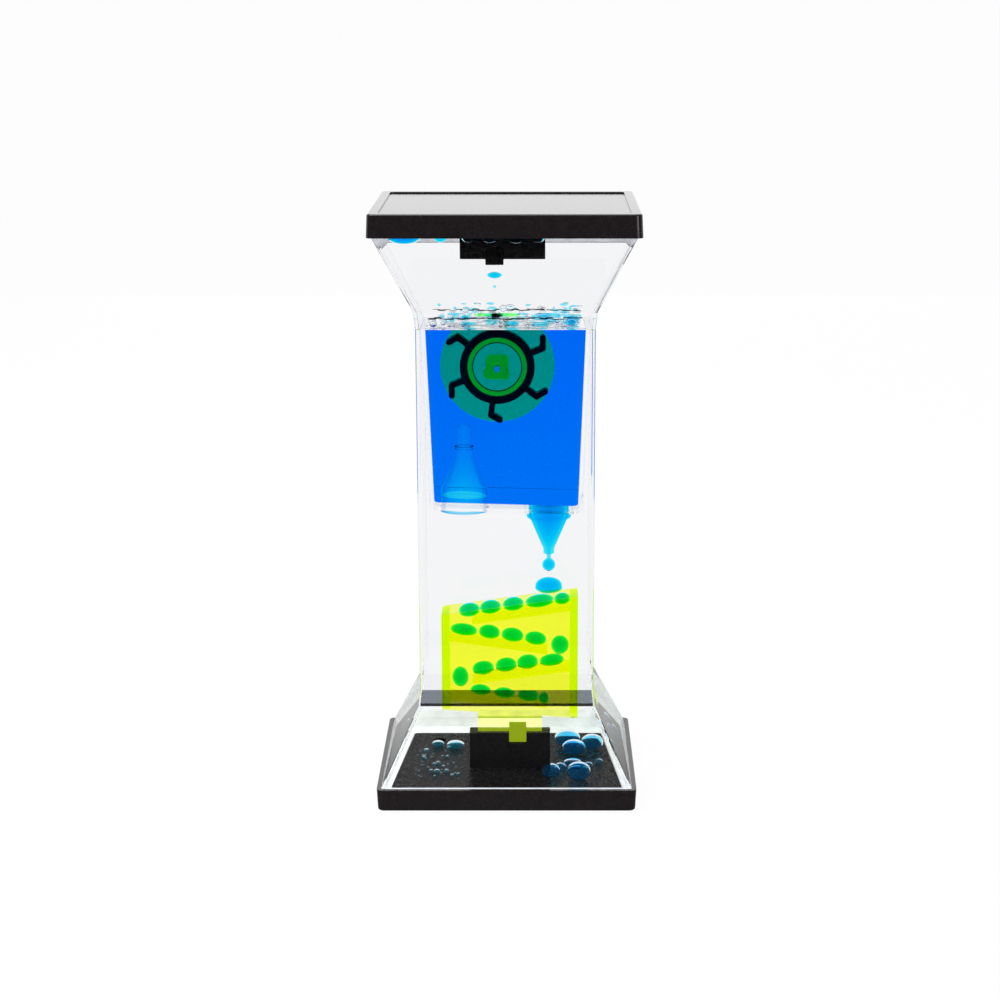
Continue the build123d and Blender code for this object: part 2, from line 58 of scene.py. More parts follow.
# Angles in degrees past which an edge stays sharp.
CUP_ANGLE, TURNED_ANGLE, FLAT_ANGLE, DROP_ANGLE = 25.0, 30.0, 35.0, 60.0
WHITE = (1.0, 1.0, 1.0)
ORIGIN = (0.0, 0.0, 0.0)
log = logging.getLogger("timer")

Colour = tuple[float, float, float]
Point = tuple[float, float, float]
Pair = tuple[float, float]
Piece = bpy.types.Object
Material = bpy.types.Material
Socket = bpy.types.NodeSocket
Test = Callable[..., bool]


class Body(Enum):
    """CAD bodies that pieces ride on."""

    CASE = "case"
    WHEEL = "wheel"


class Slot(Enum):
    """Material slots of the record."""

    BLACK = "black_plastic"
    CLEAR = "clear_plastic"
    GREEN = "wheel_green"
    STEEL = "axle_steel"
    YELLOW = "slide_yellow"
    RUBBER = "plug_rubber"
    WATER = "dyed_water"
    OIL = "clear_oil"


class CaseFace(IntEnum):
    """Materials of a hopper's faces, in order."""

    OUTSIDE = 0
    INSIDE = 1
    # The band and the line carry painted shade on the front of the collar.
    JOINT_BAND = 2
    # The foot and the back fillet carry a pale finish painted with light.
    FOOT_SEAL = 3
    JOINT_LINE = 4
    FILLET_SEAL = 5


def opaque(colour: Sequence[float]) -> tuple[float, ...]:
    """Adds a full alpha to a colour."""
    return (*colour, 1.0)


@dataclass(frozen=True)
class Grain:
    """A noise texture.

    Attributes:
        scale: Scale of the noise, per metre.
        detail: Octaves of the noise.
    """

    scale: float
    detail: float


class NodeTree:
    """Node tree of a material or world, with short calls to add and join nodes."""

    def __init__(self, owner: Material | bpy.types.World, output: str) -> None:
        """Empties the tree and adds its output.

        Args:
            owner: Material or world that the tree belongs to.
            output: Kind of its output node.
        """
        owner.use_nodes = True
        self.owner = owner
        self.tree = owner.node_tree
        self.tree.nodes.clear()
        self.output = self.add(output)

    @classmethod
    def material(cls, name: str) -> "NodeTree":
        """Makes a new material with an empty tree."""
        return cls(bpy.data.materials.new(name), "OutputMaterial")

    def add(self, kind: str, **sockets: float | Sequence[float]) -> bpy.types.Node:
        """Adds a node and sets some of its sockets.

        Args:
            kind: Type of the node, without its prefix.
            **sockets: Values of sockets, by name, with an underscore for a space.

        Returns:
            The new node.
        """
        node = self.tree.nodes.new(f"ShaderNode{kind}")
        for name, value in sockets.items():
            node.inputs[name.replace("_", " ")].default_value = value
        return node

    def join(self, source: Socket, node: bpy.types.Node, target: str | int) -> None:
        """Links a socket to an input of a node."""
        self.tree.links.new(source, node.inputs[target])

    def spread(self, value: Socket, ends: Pair, results: Pair) -> Socket:
        """Maps one range of values onto another.

        Args:
            value: Socket with the value.
            ends: Lowest and highest value.
            results: What those two become.

        Returns:
            The socket with the result.
        """
        node = self.add("MapRange", From_Min=ends[0], From_Max=ends[1], To_Min=results[0], To_Max=results[1])
        self.join(value, node, "Value")
        return node.outputs["Result"]

    def noise(self, grain: Grain, low: float = 0.0, high: float = 1.0) -> Socket:
        """Adds a noise on Object coordinates, spread over a range.

        Args:
            grain: The noise.
            low: Value at the dark end.
            high: Value at the bright end.

        Returns:
            The socket with the value.
        """
        place = self.add("TexCoord")
        texture = self.add("TexNoise", Scale=grain.scale, Detail=grain.detail)
        self.join(place.outputs["Object"], texture, "Vector")
        return self.spread(texture.outputs["Fac"], NOISE_ENDS, (low, high))

    def bump(self, grain: Grain, distance: float, strength: float = 1.0) -> Socket:
        """Adds a bump from a noise.

        Args:
            grain: The noise.
            distance: Height of the bump in metres.
            strength: Strength of the bump.

        Returns:
            The socket with the normal.
        """
        node = self.add("Bump", Distance=distance, Strength=strength)
        self.join(self.noise(grain), node, "Height")
        return node.outputs["Normal"]

    def mix(self, share: Socket, first: Socket, second: Socket) -> Socket:
        """Mixes two shaders.

        Args:
            share: Socket with the share of the second shader.
            first: First shader.
            second: Second shader.

        Returns:
            The socket with the mix.
        """
        node = self.add("MixShader")
        for target, source in enumerate((share, first, second)):
            self.join(source, node, target)
        return node.outputs["Shader"]

    def surface(self, shader: Socket) -> Material | bpy.types.World:
        """Joins the last shader to the output and gives the tree's owner."""
        self.join(shader, self.output, "Surface")
        return self.owner


@dataclass(frozen=True)
class BlackPlastic:
    """Moulded black plastic: glossy skin, fine grain, and a little wear that lifts the colour.

    Attributes:
        name: Name of the material.
        colour: Colour of the plastic.
        gloss: Lowest and highest roughness.
        shine: Strength of the skin's reflection.
        lift: How much brighter the worn colour is.
        wear: Noise of the wear.
        skin: Noise of the roughness.
        grain: Noise of the fine grain.
        relief: Height and strength of the fine grain.
    """

    name: str = "moulded_black"
    colour: Colour = (0.0105, 0.0082, 0.009)
    gloss: Pair = (0.1, 0.15)
    shine: float = 0.4
    lift: float = 1.35
    wear: Grain = Grain(420.0, 6.0)
    skin: Grain = Grain(900.0, 4.0)
    grain: Grain = Grain(3200.0, 2.0)
    relief: Pair = (0.01 * MM, 0.15)

    def make(self) -> Material:
        """Builds the material.

        Returns:
            The material.
        """
        nodes = NodeTree.material(self.name)
        shader = nodes.add("BsdfPrincipled", Specular_IOR_Level=self.shine)
        ramp = nodes.add("ValToRGB")
        ramp.color_ramp.elements[0].color = opaque(self.colour)
        ramp.color_ramp.elements[1].color = opaque([self.lift * part for part in self.colour])
        nodes.join(nodes.noise(self.wear), ramp, "Fac")
        nodes.join(ramp.outputs["Color"], shader, "Base Color")
        nodes.join(nodes.noise(self.skin, *self.gloss), shader, "Roughness")
        nodes.join(nodes.bump(self.grain, *self.relief), shader, "Normal")
        return nodes.surface(shader.outputs["BSDF"])


@dataclass(frozen=True)
class ClearMatter:
    """Clear or dyed matter: glass-like surface, a dye that takes light away with depth, and painted shade at
    glancing angles.

    Attributes:
        name: Name of the material.
        bend: Refractive index against what lies outside the surface.
        dye: Colour that the dye lets through.
        density: Strength of the dye per metre, or 0 for none.
        ripple: Height of the surface's slow waviness in metres.
        waves: Scale of that waviness, per metre.
        haze: Highest roughness of the surface.
        painted_glow: Colour and strength of painted light that the piece gives off though it is no lamp; in
            the green and yellow plastic it stands partly for their fluorescence, in the drops for light they
            catch.
        face: Colour of the surface seen square on.
        rim: Colour of the surface seen at a glancing angle, a painted shade that stands in for dark
            surroundings mirrored in it.
        blur: Noise of the roughness.
    """

    name: str
    bend: float
    dye: Colour = WHITE
    density: float = 0.0
    ripple: float = 0.0
    waves: float = 70.0
    haze: float = 0.0
    painted_glow: tuple[Colour, float] = ((0.0, 0.0, 0.0), 0.0)
    face: Colour = WHITE
    rim: Colour = WHITE
    blur: Grain = Grain(260.0, 3.0)

    def make(self) -> Material:
        """Builds the material.

        Returns:
            The material.
        """
        nodes = NodeTree.material(self.name)
        # Painted light: the emission makes the piece shine though it is no lamp.
        shader = nodes.add("BsdfPrincipled", Transmission_Weight=1.0, IOR=self.bend,
                           Emission_Color=opaque(self.painted_glow[0]), Emission_Strength=self.painted_glow[1])
        # Painted shade: the colour turns from face to rim as the surface turns away from the view.
        weight = nodes.add("LayerWeight", Blend=0.5)
        glancing_shade = nodes.add("ValToRGB")
        for stop, position, colour in zip(glancing_shade.color_ramp.elements, GLANCING_SHADE_STOPS, (self.face, self.rim)):
            stop.position = position
            stop.color = opaque(colour)
        nodes.join(weight.outputs["Facing"], glancing_shade, "Fac")
        nodes.join(glancing_shade.outputs["Color"], shader, "Base Color")
        nodes.join(nodes.noise(self.blur, 0.0, self.haze), shader, "Roughness")
        if self.ripple:
            nodes.join(nodes.bump(Grain(self.waves, 1.0), self.ripple), shader, "Normal")
        clear = nodes.add("BsdfTransparent")
        path = nodes.add("LightPath")
        mix = nodes.mix(path.outputs["Is Shadow Ray"], shader.outputs["BSDF"], clear.outputs["BSDF"])
        if self.density:
            absorb = nodes.add("VolumeAbsorption", Color=opaque(self.dye), Density=self.density)
            nodes.join(absorb.outputs["Volume"], nodes.output, "Volume")
        return nodes.surface(mix)


@dataclass(frozen=True)
class Metal:
    """Drawn steel with an uneven polish.

    Attributes:
        name: Name of the material.
        colour: Colour of the metal.
        gloss: Lowest and highest roughness.
        polish: Noise of the roughness.
    """

    name: str = "drawn_steel"
    colour: Colour = (0.55, 0.56, 0.58)
    gloss: Pair = (0.18, 0.36)
    polish: Grain = Grain(900.0, 3.0)

    def make(self) -> Material:
        """Builds the material.

        Returns:
            The material.
        """
        nodes = NodeTree.material(self.name)
        shader = nodes.add("BsdfPrincipled", Base_Color=opaque(self.colour), Metallic=1.0)
        nodes.join(nodes.noise(self.polish, *self.gloss), shader, "Roughness")
        return nodes.surface(shader.outputs["BSDF"])


@dataclass(frozen=True)
class PaintedLightFinish:
    """Pale finish on the clear foot that shines with painted light, which stands in for the light that the
    clear walls carry down into the moat.

    Attributes:
        name: Name of the material.
        colour: Colour of the finish.
        light: Strength of the painted light that comes out of it.
        tone: Colour of that light.
        patches: Lowest and highest share of that light.
        gloss: Lowest and highest roughness.
        cloud: Noise of the light.
        skin: Noise of the roughness.
    """

    name: str = "foot_painted_light"
    colour: Colour = (0.53, 0.54, 0.56)
    light: float = 0.35
    tone: Colour = (0.95, 0.97, 1.0)
    patches: Pair = (0.8, 1.2)
    gloss: Pair = (0.35, 0.5)
    cloud: Grain = Grain(300.0, 3.0)
    skin: Grain = Grain(500.0, 2.0)

    def make(self) -> Material:
        """Builds the material.

        Returns:
            The material.
        """
        nodes = NodeTree.material(self.name)
        shader = nodes.add("BsdfPrincipled", Base_Color=opaque(self.colour), Emission_Color=opaque(self.tone))
        # Painted light: the finish shines in patches though it is no lamp.
        light = nodes.noise(self.cloud, *(share * self.light for share in self.patches))
        nodes.join(light, shader, "Emission Strength")
        nodes.join(nodes.noise(self.skin, *self.gloss), shader, "Roughness")
        return nodes.surface(shader.outputs["BSDF"])


class Finishes:
    """All finishes, each made once."""

    def __init__(self) -> None:
        """Makes every finish."""
        case_bend = 1.40
        # The case's rim colour is painted shade at glancing angles; its face colour is its faint tint seen
        # square on.
        rim_shade_grey, faint = (0.46, 0.47, 0.51), (0.945, 0.95, 0.968)
        water, water_density = (0.0, 0.891, 0.9989), 600.0
        self.black = BlackPlastic().make()
        self.black_inside = BlackPlastic("black_in_liquid", (0.006, 0.0055, 0.006), (0.25, 0.3), 0.04).make()
        self.rubber = BlackPlastic("plug_rubber", (0.03, 0.03, 0.032), (0.6, 0.75), 0.3).make()
        self.steel = Metal().make()
        self.case_outside = ClearMatter("case_outside", case_bend, ripple=0.003 * MM, haze=0.01, face=faint,
                                        rim=rim_shade_grey).make()
        self.case_inside = ClearMatter("case_inside", 1.03).make()
        # Painted shade: the band and the line darken the collar's front faces.
        self.collar_front_shade = ClearMatter("collar_front_painted_shade", case_bend, haze=0.02, face=(0.058, 0.07, 0.09),
                                      rim=rim_shade_grey).make()
        self.collar_shade_line = ClearMatter("collar_shade_line", case_bend, face=(0.0015, 0.0016, 0.0025),
                                      rim=(0.02, 0.02, 0.03)).make()
        # Painted light: the foot and the back fillet shine with their own light.
        self.foot_light_paint = PaintedLightFinish().make()
        self.fillet_light_paint = PaintedLightFinish("back_fillet_painted_light", light=0.44).make()
        # Every rim colour below is painted shade at glancing angles; the foam's blue rim is a painted
        # reflection of the water.
        self.cup = ClearMatter("cup_plastic", 1.01, rim=(0.8, 0.82, 0.88)).make()
        # The blue in the flange and nozzle plastic is painted light: the lit blue of the water, put in as
        # dye.
        self.flange = ClearMatter("blue_lit_flange", 1.02, (0.0, 0.75, 0.98), 3500.0).make()
        self.funnel = ClearMatter("funnel_plastic", 1.008, rim=(0.62, 0.72, 0.85)).make()
        self.nozzle = ClearMatter("blue_lit_nozzle", 1.01, (0.0, 0.92, 0.999), 1500.0).make()
        self.bearing = ClearMatter("bearing_plastic", 1.006, rim=(0.9, 0.92, 0.95)).make()
        self.oil = ClearMatter("clear_oil", 1.03).make()
        self.water = ClearMatter("dyed_water", 1.045, water, water_density).make()
        self.surface = ClearMatter("water_surface", 0.92, water, water_density, ripple=0.2 * MM,
                                   waves=260.0).make()
        self.foam = ClearMatter("foam_bubble", 0.88, rim=(0.2, 0.55, 0.8)).make()
        # Painted shade: a dark tint on the meniscus where the water meets the walls.
        self.meniscus_shade = ClearMatter("contact_line", 0.95, face=(0.03, 0.06, 0.08),
                                   rim=(0.01, 0.02, 0.03)).make()
        self.mist = ClearMatter("foam_drop", 0.97, (0.0, 0.88, 0.997), 1300.0).make()
        self.drop = ClearMatter("dyed_drop", 0.97, (0.0, 0.924, 0.9994), 2000.0).make()
        self.nozzle_water = ClearMatter("nozzle_water", 0.97, (0.0, 0.942, 0.9994), 2000.0).make()
        # The drops on the black pad and on the slide shine with painted light for the light they catch.
        self.pool = ClearMatter("drop_on_black", 0.93, (0.0, 0.8, 0.999), 500.0,
                                painted_glow=((0.0, 0.3, 0.8), 0.025)).make()
        self.bead = ClearMatter("bead_on_black", 0.9, (0.05, 0.75, 0.9), 700.0,
                                painted_glow=((0.03, 0.3, 0.4), 0.08)).make()
        self.slide_drop = ClearMatter("drop_on_yellow", 0.97, (0.0, 0.925, 0.95), 1700.0,
                                      painted_glow=((0.0, 0.5, 0.05), 0.08)).make()
        # The wheel green and the slide yellows shine with painted light, partly their fluorescence; the leg's
        # strong yellow light is painted light.
        self.green = ClearMatter("wheel_green", 1.03, (0.2, 0.99, 0.2), 1770.0,
                                 painted_glow=((0.0, 0.5, 0.06), 0.32)).make()
        self.yellow = ClearMatter("slide_yellow", 1.03, (0.9887, 0.9927, 0.0), 1300.0,
                                  painted_glow=((0.0, 0.6, 0.0), 0.02), rim=(0.85, 0.92, 0.3)).make()
        self.leg = ClearMatter("slide_leg", 1.03, (0.97, 0.99, 0.3), 700.0,
                               painted_glow=((0.5, 0.68, 0.02), 0.27)).make()
        self.yellow_edge = ClearMatter("slide_edge_yellow", 1.03, (0.965, 0.993, 0.0), 1050.0,
                                       painted_glow=((0.0, 0.8, 0.0), 0.04), rim=(0.6, 0.95, 0.2)).make()


class Bench:
    """Modelling steps that the pieces share, each made of Blender's own operators."""

    @staticmethod
    def deselect() -> None:
        """Leaves nothing selected."""
        bpy.ops.object.select_all(action="DESELECT")

    @staticmethod
    def take(piece: Piece) -> None:
        """Makes one object the only selected and active one."""
        Bench.deselect()
        piece.select_set(True)
        bpy.context.view_layer.objects.active = piece

    @staticmethod
    @contextmanager
    def editing(piece: Piece) -> Iterator[None]:
        """Opens an object in edit mode and closes it again.

        Args:
            piece: Object to edit.

        Yields:
            Nothing, while the object is in edit mode.
        """
        Bench.take(piece)
        bpy.ops.object.mode_set(mode="EDIT")
        try:
            yield
        finally:
            bpy.ops.object.mode_set(mode="OBJECT")

    @staticmethod
    def pick(piece: Piece, kind: str, marks: Callable[[object], Sequence[Vector]], test: Test) -> None:
        """Selects the elements of an edit mesh that pass a test.

        Args:
            piece: Object in edit mode.
            kind: VERT, EDGE or FACE.
            marks: Gives what the test looks at for an element.
            test: Test of an element's marks.
        """
        bpy.ops.mesh.select_mode(type=kind)
        bpy.ops.mesh.select_all(action="DESELECT")
        mesh = bmesh.from_edit_mesh(piece.data)
        elements = {"VERT": mesh.verts, "EDGE": mesh.edges, "FACE": mesh.faces}[kind]
        for element in elements:
            element.select_set(test(*marks(element)))
        if kind == "VERT":
            mesh.select_flush_mode()
        bmesh.update_edit_mesh(piece.data)

    @staticmethod
    def pick_faces(piece: Piece, test: Test) -> None:
        """Selects the faces whose centre and normal pass a test."""
        Bench.pick(piece, "FACE", lambda face: (face.calc_center_median(), face.normal), test)

    @staticmethod
    def pick_edges(piece: Piece, test: Test) -> None:
        """Selects the edges whose two ends pass a test."""
        Bench.pick(piece, "EDGE", lambda edge: (edge.verts[0].co, edge.verts[1].co), test)

    @staticmethod
    def pick_points(piece: Piece, test: Test) -> None:
        """Selects the vertices whose place passes a test."""
        Bench.pick(piece, "VERT", lambda vertex: (vertex.co,), test)

    @staticmethod
    def select_all() -> None:
        """Selects the whole edit mesh."""
        bpy.ops.mesh.select_all(action="SELECT")

    @staticmethod
    def extrude(rise: float) -> None:
        """Extrudes the selection along z."""
        bpy.ops.mesh.extrude_region_move(TRANSFORM_OT_translate={"value": (0.0, 0.0, rise)})

    @staticmethod
    def resize(x: float, y: float, z: float = 1.0, level: float = 0.0) -> None:
        """Resizes the selection about the point of the z axis at a level."""
        bpy.ops.transform.resize(value=(x, y, z), center_override=(0.0, 0.0, level))

    @staticmethod
    def named(name: str) -> Piece:
        """Names the active object and its mesh.

        Args:
            name: The piece's name.

        Returns:
            The object.
        """
        piece = bpy.context.active_object
        piece.name = name
        piece.data.name = name
        return piece

    @staticmethod
    def tower(name: str, sections: Sequence[Point]) -> Piece:
        """Raises a plate through a pile of rectangles.

        Args:
            name: The piece's name.
            sections: Width, depth and height of each rectangle, from the first to the last, in metres.

        Returns:
            A closed straight-sided block centred on the z axis.
        """
        Bench.deselect()
        width, depth, z = sections[0]
        bpy.ops.mesh.primitive_plane_add(size=1.0)
        piece = Bench.named(name)
        with Bench.editing(piece):
            Bench.resize(width, depth)
            bpy.ops.transform.translate(value=(0.0, 0.0, z))
            for wide, deep, high in sections[1:]:
                Bench.extrude(high - z)
                Bench.resize(wide / width, deep / depth, level=high)
                width, depth, z = wide, deep, high
            Bench.select_all()
            bpy.ops.mesh.normals_make_consistent(inside=False)
        return piece

    @staticmethod
    def close_ring(end: Pair, level: float) -> None:
        """Closes the selected ring, in a pole where the profile ends on its axis, or else with a face.

        Args:
            end: Radius and height at that end of the profile.
            level: Height of the ring.
        """
        if end[0] == 0.0:
            Bench.extrude(end[1] - level)
            bpy.ops.mesh.merge(type="CENTER")
        else:
            bpy.ops.mesh.edge_face_add()

    @staticmethod
    def lathe(name: str, profile: Sequence[Pair], place: Point, sides: int = 48,
              closed: bool = False) -> Piece:
        """Turns a profile round a vertical axis.

        Args:
            name: The piece's name.
            profile: Radius and height of each ring, in metres; a radius of 0 at an end closes it in a pole.
            place: Foot of the axis.
            sides: Vertices of a ring.
            closed: Whether the last ring joins the first, as in a tube with a wall.

        Returns:
            The turned piece.
        """
        Bench.deselect()
        rings = [ring for ring in profile if ring[0] > 0.0]
        first, foot = rings[0]
        radius, z = rings[0]
        bpy.ops.mesh.primitive_circle_add(vertices=sides, radius=radius)
        piece = Bench.named(name)
        with Bench.editing(piece):
            bpy.ops.mesh.select_mode(type="VERT")
            Bench.select_all()
            bpy.ops.transform.translate(value=(0.0, 0.0, z))
            for wide, high in rings[1:] + ([rings[0]] if closed else []):
                Bench.extrude(high - z)
                Bench.resize(wide / radius, wide / radius, level=high)
                radius, z = wide, high
            if not closed:
                Bench.close_ring(profile[-1], z)
                Bench.pick_points(piece, lambda at: abs(at.z - foot) < EXACT
                                  and abs(math.hypot(at.x, at.y) - first) < NEAR)
                Bench.close_ring(profile[0], foot)
            Bench.select_all()
            bpy.ops.mesh.remove_doubles(threshold=NEAR / 10)
            bpy.ops.mesh.normals_make_consistent(inside=False)
            bpy.ops.transform.translate(value=place)
        return piece

    @staticmethod
    def drop(name: str, place: Point, size: Point, sides: int = 32, sag: float = 0.0,
             turn: float = 0.0) -> Piece:
        """Makes a drop that is wider below its middle.

        Args:
            name: The piece's name.
            place: Middle of the drop.
            size: Length, depth and height of the drop.
            sides: Vertices round the drop.
            sag: Share by which the lower half swells.
            turn: Turn about the y axis in radians.

        Returns:
            The drop.
        """
        Bench.deselect()
        bpy.ops.mesh.primitive_uv_sphere_add(segments=sides, ring_count=sides // 2, radius=0.5)
        piece = Bench.named(name)
        with Bench.editing(piece):
            if sag:
                Bench.pick_points(piece, lambda at: at.z < -0.1)
                Bench.resize(1.0 + sag, 1.0 + sag, 1.0 - sag)
            Bench.select_all()
            bpy.ops.mesh.vertices_smooth(factor=0.3, repeat=1)
            Bench.resize(*size)
            if turn:
                bpy.ops.transform.rotate(value=turn, orient_axis="Y", center_override=ORIGIN)
            bpy.ops.transform.translate(value=place)
        return piece

    @staticmethod
    def plate(name: str, corners: Sequence[Pair], front: float, back: float) -> Piece:
        """Makes an upright plate from a four-cornered outline.

        Args:
            name: The piece's name.
            corners: x and z of the lower left, lower right, upper right and upper left corners.
            front: y of the front face.
            back: y of the back face.

        Returns:
            The plate.
        """
        Bench.deselect()
        bpy.ops.mesh.primitive_cube_add(size=1.0)
        piece = Bench.named(name)
        with Bench.editing(piece):
            signs = ((-1, -1), (1, -1), (1, 1), (-1, 1))
            for (x, z), (side, level) in zip(corners, signs):
                for y, depth in ((front, -1), (back, 1)):
                    at = Vector((side, depth, level)) / 2
                    Bench.pick_points(piece, lambda point: (point - at).length < NEAR)
                    bpy.ops.transform.translate(value=Vector((x, y, z)) - at)
        return piece

    @staticmethod
    def modify(piece: Piece, kind: str, **settings: object) -> None:
        """Adds a modifier and applies it.

        Args:
            piece: Piece to change.
            kind: Type of the modifier.
            **settings: Settings of the modifier, by name.
        """
        Bench.take(piece)
        modifier = piece.modifiers.new(kind.lower(), kind)
        for name, value in settings.items():
            setattr(modifier, name, value)
        bpy.ops.object.modifier_apply(modifier=modifier.name)

    @staticmethod
    def round_edges(piece: Piece, width: float, limit: float = 30.0) -> None:
        """Rounds the edges of a piece that are sharper than a limit in degrees."""
        Bench.modify(piece, "BEVEL", width=width, segments=2, limit_method="ANGLE",
                     angle_limit=math.radians(limit), use_clamp_overlap=True)

    @staticmethod
    def wall(piece: Piece, thickness: float) -> None:
        """Gives an open shell its wall, inwards, with the second material inside."""
        Bench.modify(piece, "SOLIDIFY", thickness=thickness, offset=-1.0, use_even_offset=True,
                     use_quality_normals=True, material_offset=1)

    @staticmethod
    def combine(piece: Piece, other: Piece, how: str) -> None:
        """Joins (UNION) or cuts (DIFFERENCE) a closed piece with another, which is used up."""
        Bench.modify(piece, "BOOLEAN", operation=how, solver="EXACT", object=other)
        bpy.data.objects.remove(other)

    @staticmethod
    def gather(pieces: Sequence[Piece], name: str) -> Piece:
        """Joins loose pieces into one object.

        Args:
            pieces: Pieces to join.
            name: Name of the object.

        Returns:
            The object.
        """
        Bench.take(pieces[0])
        for piece in pieces[1:]:
            piece.select_set(True)
        bpy.ops.object.join()
        return Bench.named(name)

    @staticmethod
    def smooth(piece: Piece, angle: float = FLAT_ANGLE, flat_faces: bool = False) -> None:
        """Shades a piece smooth, apart from its sharp edges.

        Args:
            piece: Piece to shade.
            angle: Angle in degrees past which an edge stays sharp.
            flat_faces: Whether large faces keep their own normals beside rounded edges.
        """
        Bench.take(piece)
        bpy.ops.object.shade_smooth_by_angle(angle=math.radians(angle))
        if flat_faces:
            Bench.modify(piece, "WEIGHTED_NORMAL", keep_sharp=True)

    @staticmethod
    def paint(piece: Piece, materials: Sequence[Material], test: Test) -> None:
        """Gives a piece two materials.

        Args:
            piece: Piece to paint.
            materials: First and second material.
            test: Test of the faces that take the second.
        """
        piece.data.materials.clear()
        for material in materials:
            piece.data.materials.append(material)
        for face in piece.data.polygons:
            face.material_index = int(test(face))

    @staticmethod
    def turn_over(piece: Piece) -> None:
        """Turns a piece upside down about the middle of the timer's height."""
        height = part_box("top_cap")[1].z
        with Bench.editing(piece):
            Bench.select_all()
            bpy.ops.transform.rotate(value=math.pi, orient_axis="Y", center_override=(0.0, 0.0, height / 2))

    @staticmethod
    def refined(node: str, name: str, edge: float) -> Piece:
        """Copies a CAD node's mesh, merges its triangles and rounds its edges.

        Args:
            node: CAD node to start from.
            name: The piece's name.
            edge: Width of the rounding.

        Returns:
            The refined copy.
        """
        Bench.deselect()
        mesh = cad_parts[node].data.copy()
        mesh.materials.clear()
        piece = bpy.data.objects.new(name, mesh)
        mesh.name = name
        bpy.context.scene.collection.objects.link(piece)
        with Bench.editing(piece):
            Bench.select_all()
            bpy.ops.mesh.customdata_custom_splitnormals_clear()
            bpy.ops.mesh.remove_doubles(threshold=NEAR)
            bpy.ops.mesh.dissolve_limited(angle_limit=math.radians(0.5))
        Bench.round_edges(piece, edge, limit=40.0)
        Bench.smooth(piece, flat_faces=True)
        return piece

    @staticmethod
    def bead(name: str, place: Point, radius: float, height: float) -> Piece:
        """Makes a tiny bead of few faces that sits on a level surface.

        Args:
            name: The piece's name.
            place: Point under the bead.
            radius: Radius of the bead.
            height: Height of the bead.

        Returns:
            The bead.
        """
        Bench.deselect()
        bpy.ops.mesh.primitive_ico_sphere_add(subdivisions=2, radius=radius)
        piece = Bench.named(name)
        with Bench.editing(piece):
            Bench.select_all()
            Bench.resize(1.0, 1.0, height / (2 * radius))
            bpy.ops.transform.translate(value=(place[0], place[1], place[2] + height / 2))
        return piece


@dataclass
class Assembly:
    """A group of pieces that are built and dressed together.

    Attributes:
        finishes: Finishes to dress with.
        pieces: Pieces made so far.
    """

    finishes: Finishes
    pieces: list[Piece] = field(default_factory=list)

    def place(self, piece: Piece, slot: Slot, materials: Sequence[Material], nodes: Sequence[str] = (),
              body: Body = Body.CASE) -> Piece:
        """Dresses a finished piece and hands it to its body.

        Args:
            piece: The piece, in place.
            slot: Slot of the record; not used.
            materials: Its materials, in order.
            nodes: CAD nodes that it stands for.
            body: Body that it rides on.

        Returns:
            The piece.
        """
        if not piece.data.materials:
            for material in materials:
                piece.data.materials.append(material)
        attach(piece, body.value)
        if nodes:
            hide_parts(*nodes)
        self.pieces.append(piece)
        log.info("%s: %d faces", piece.name, len(piece.data.polygons))
        return piece


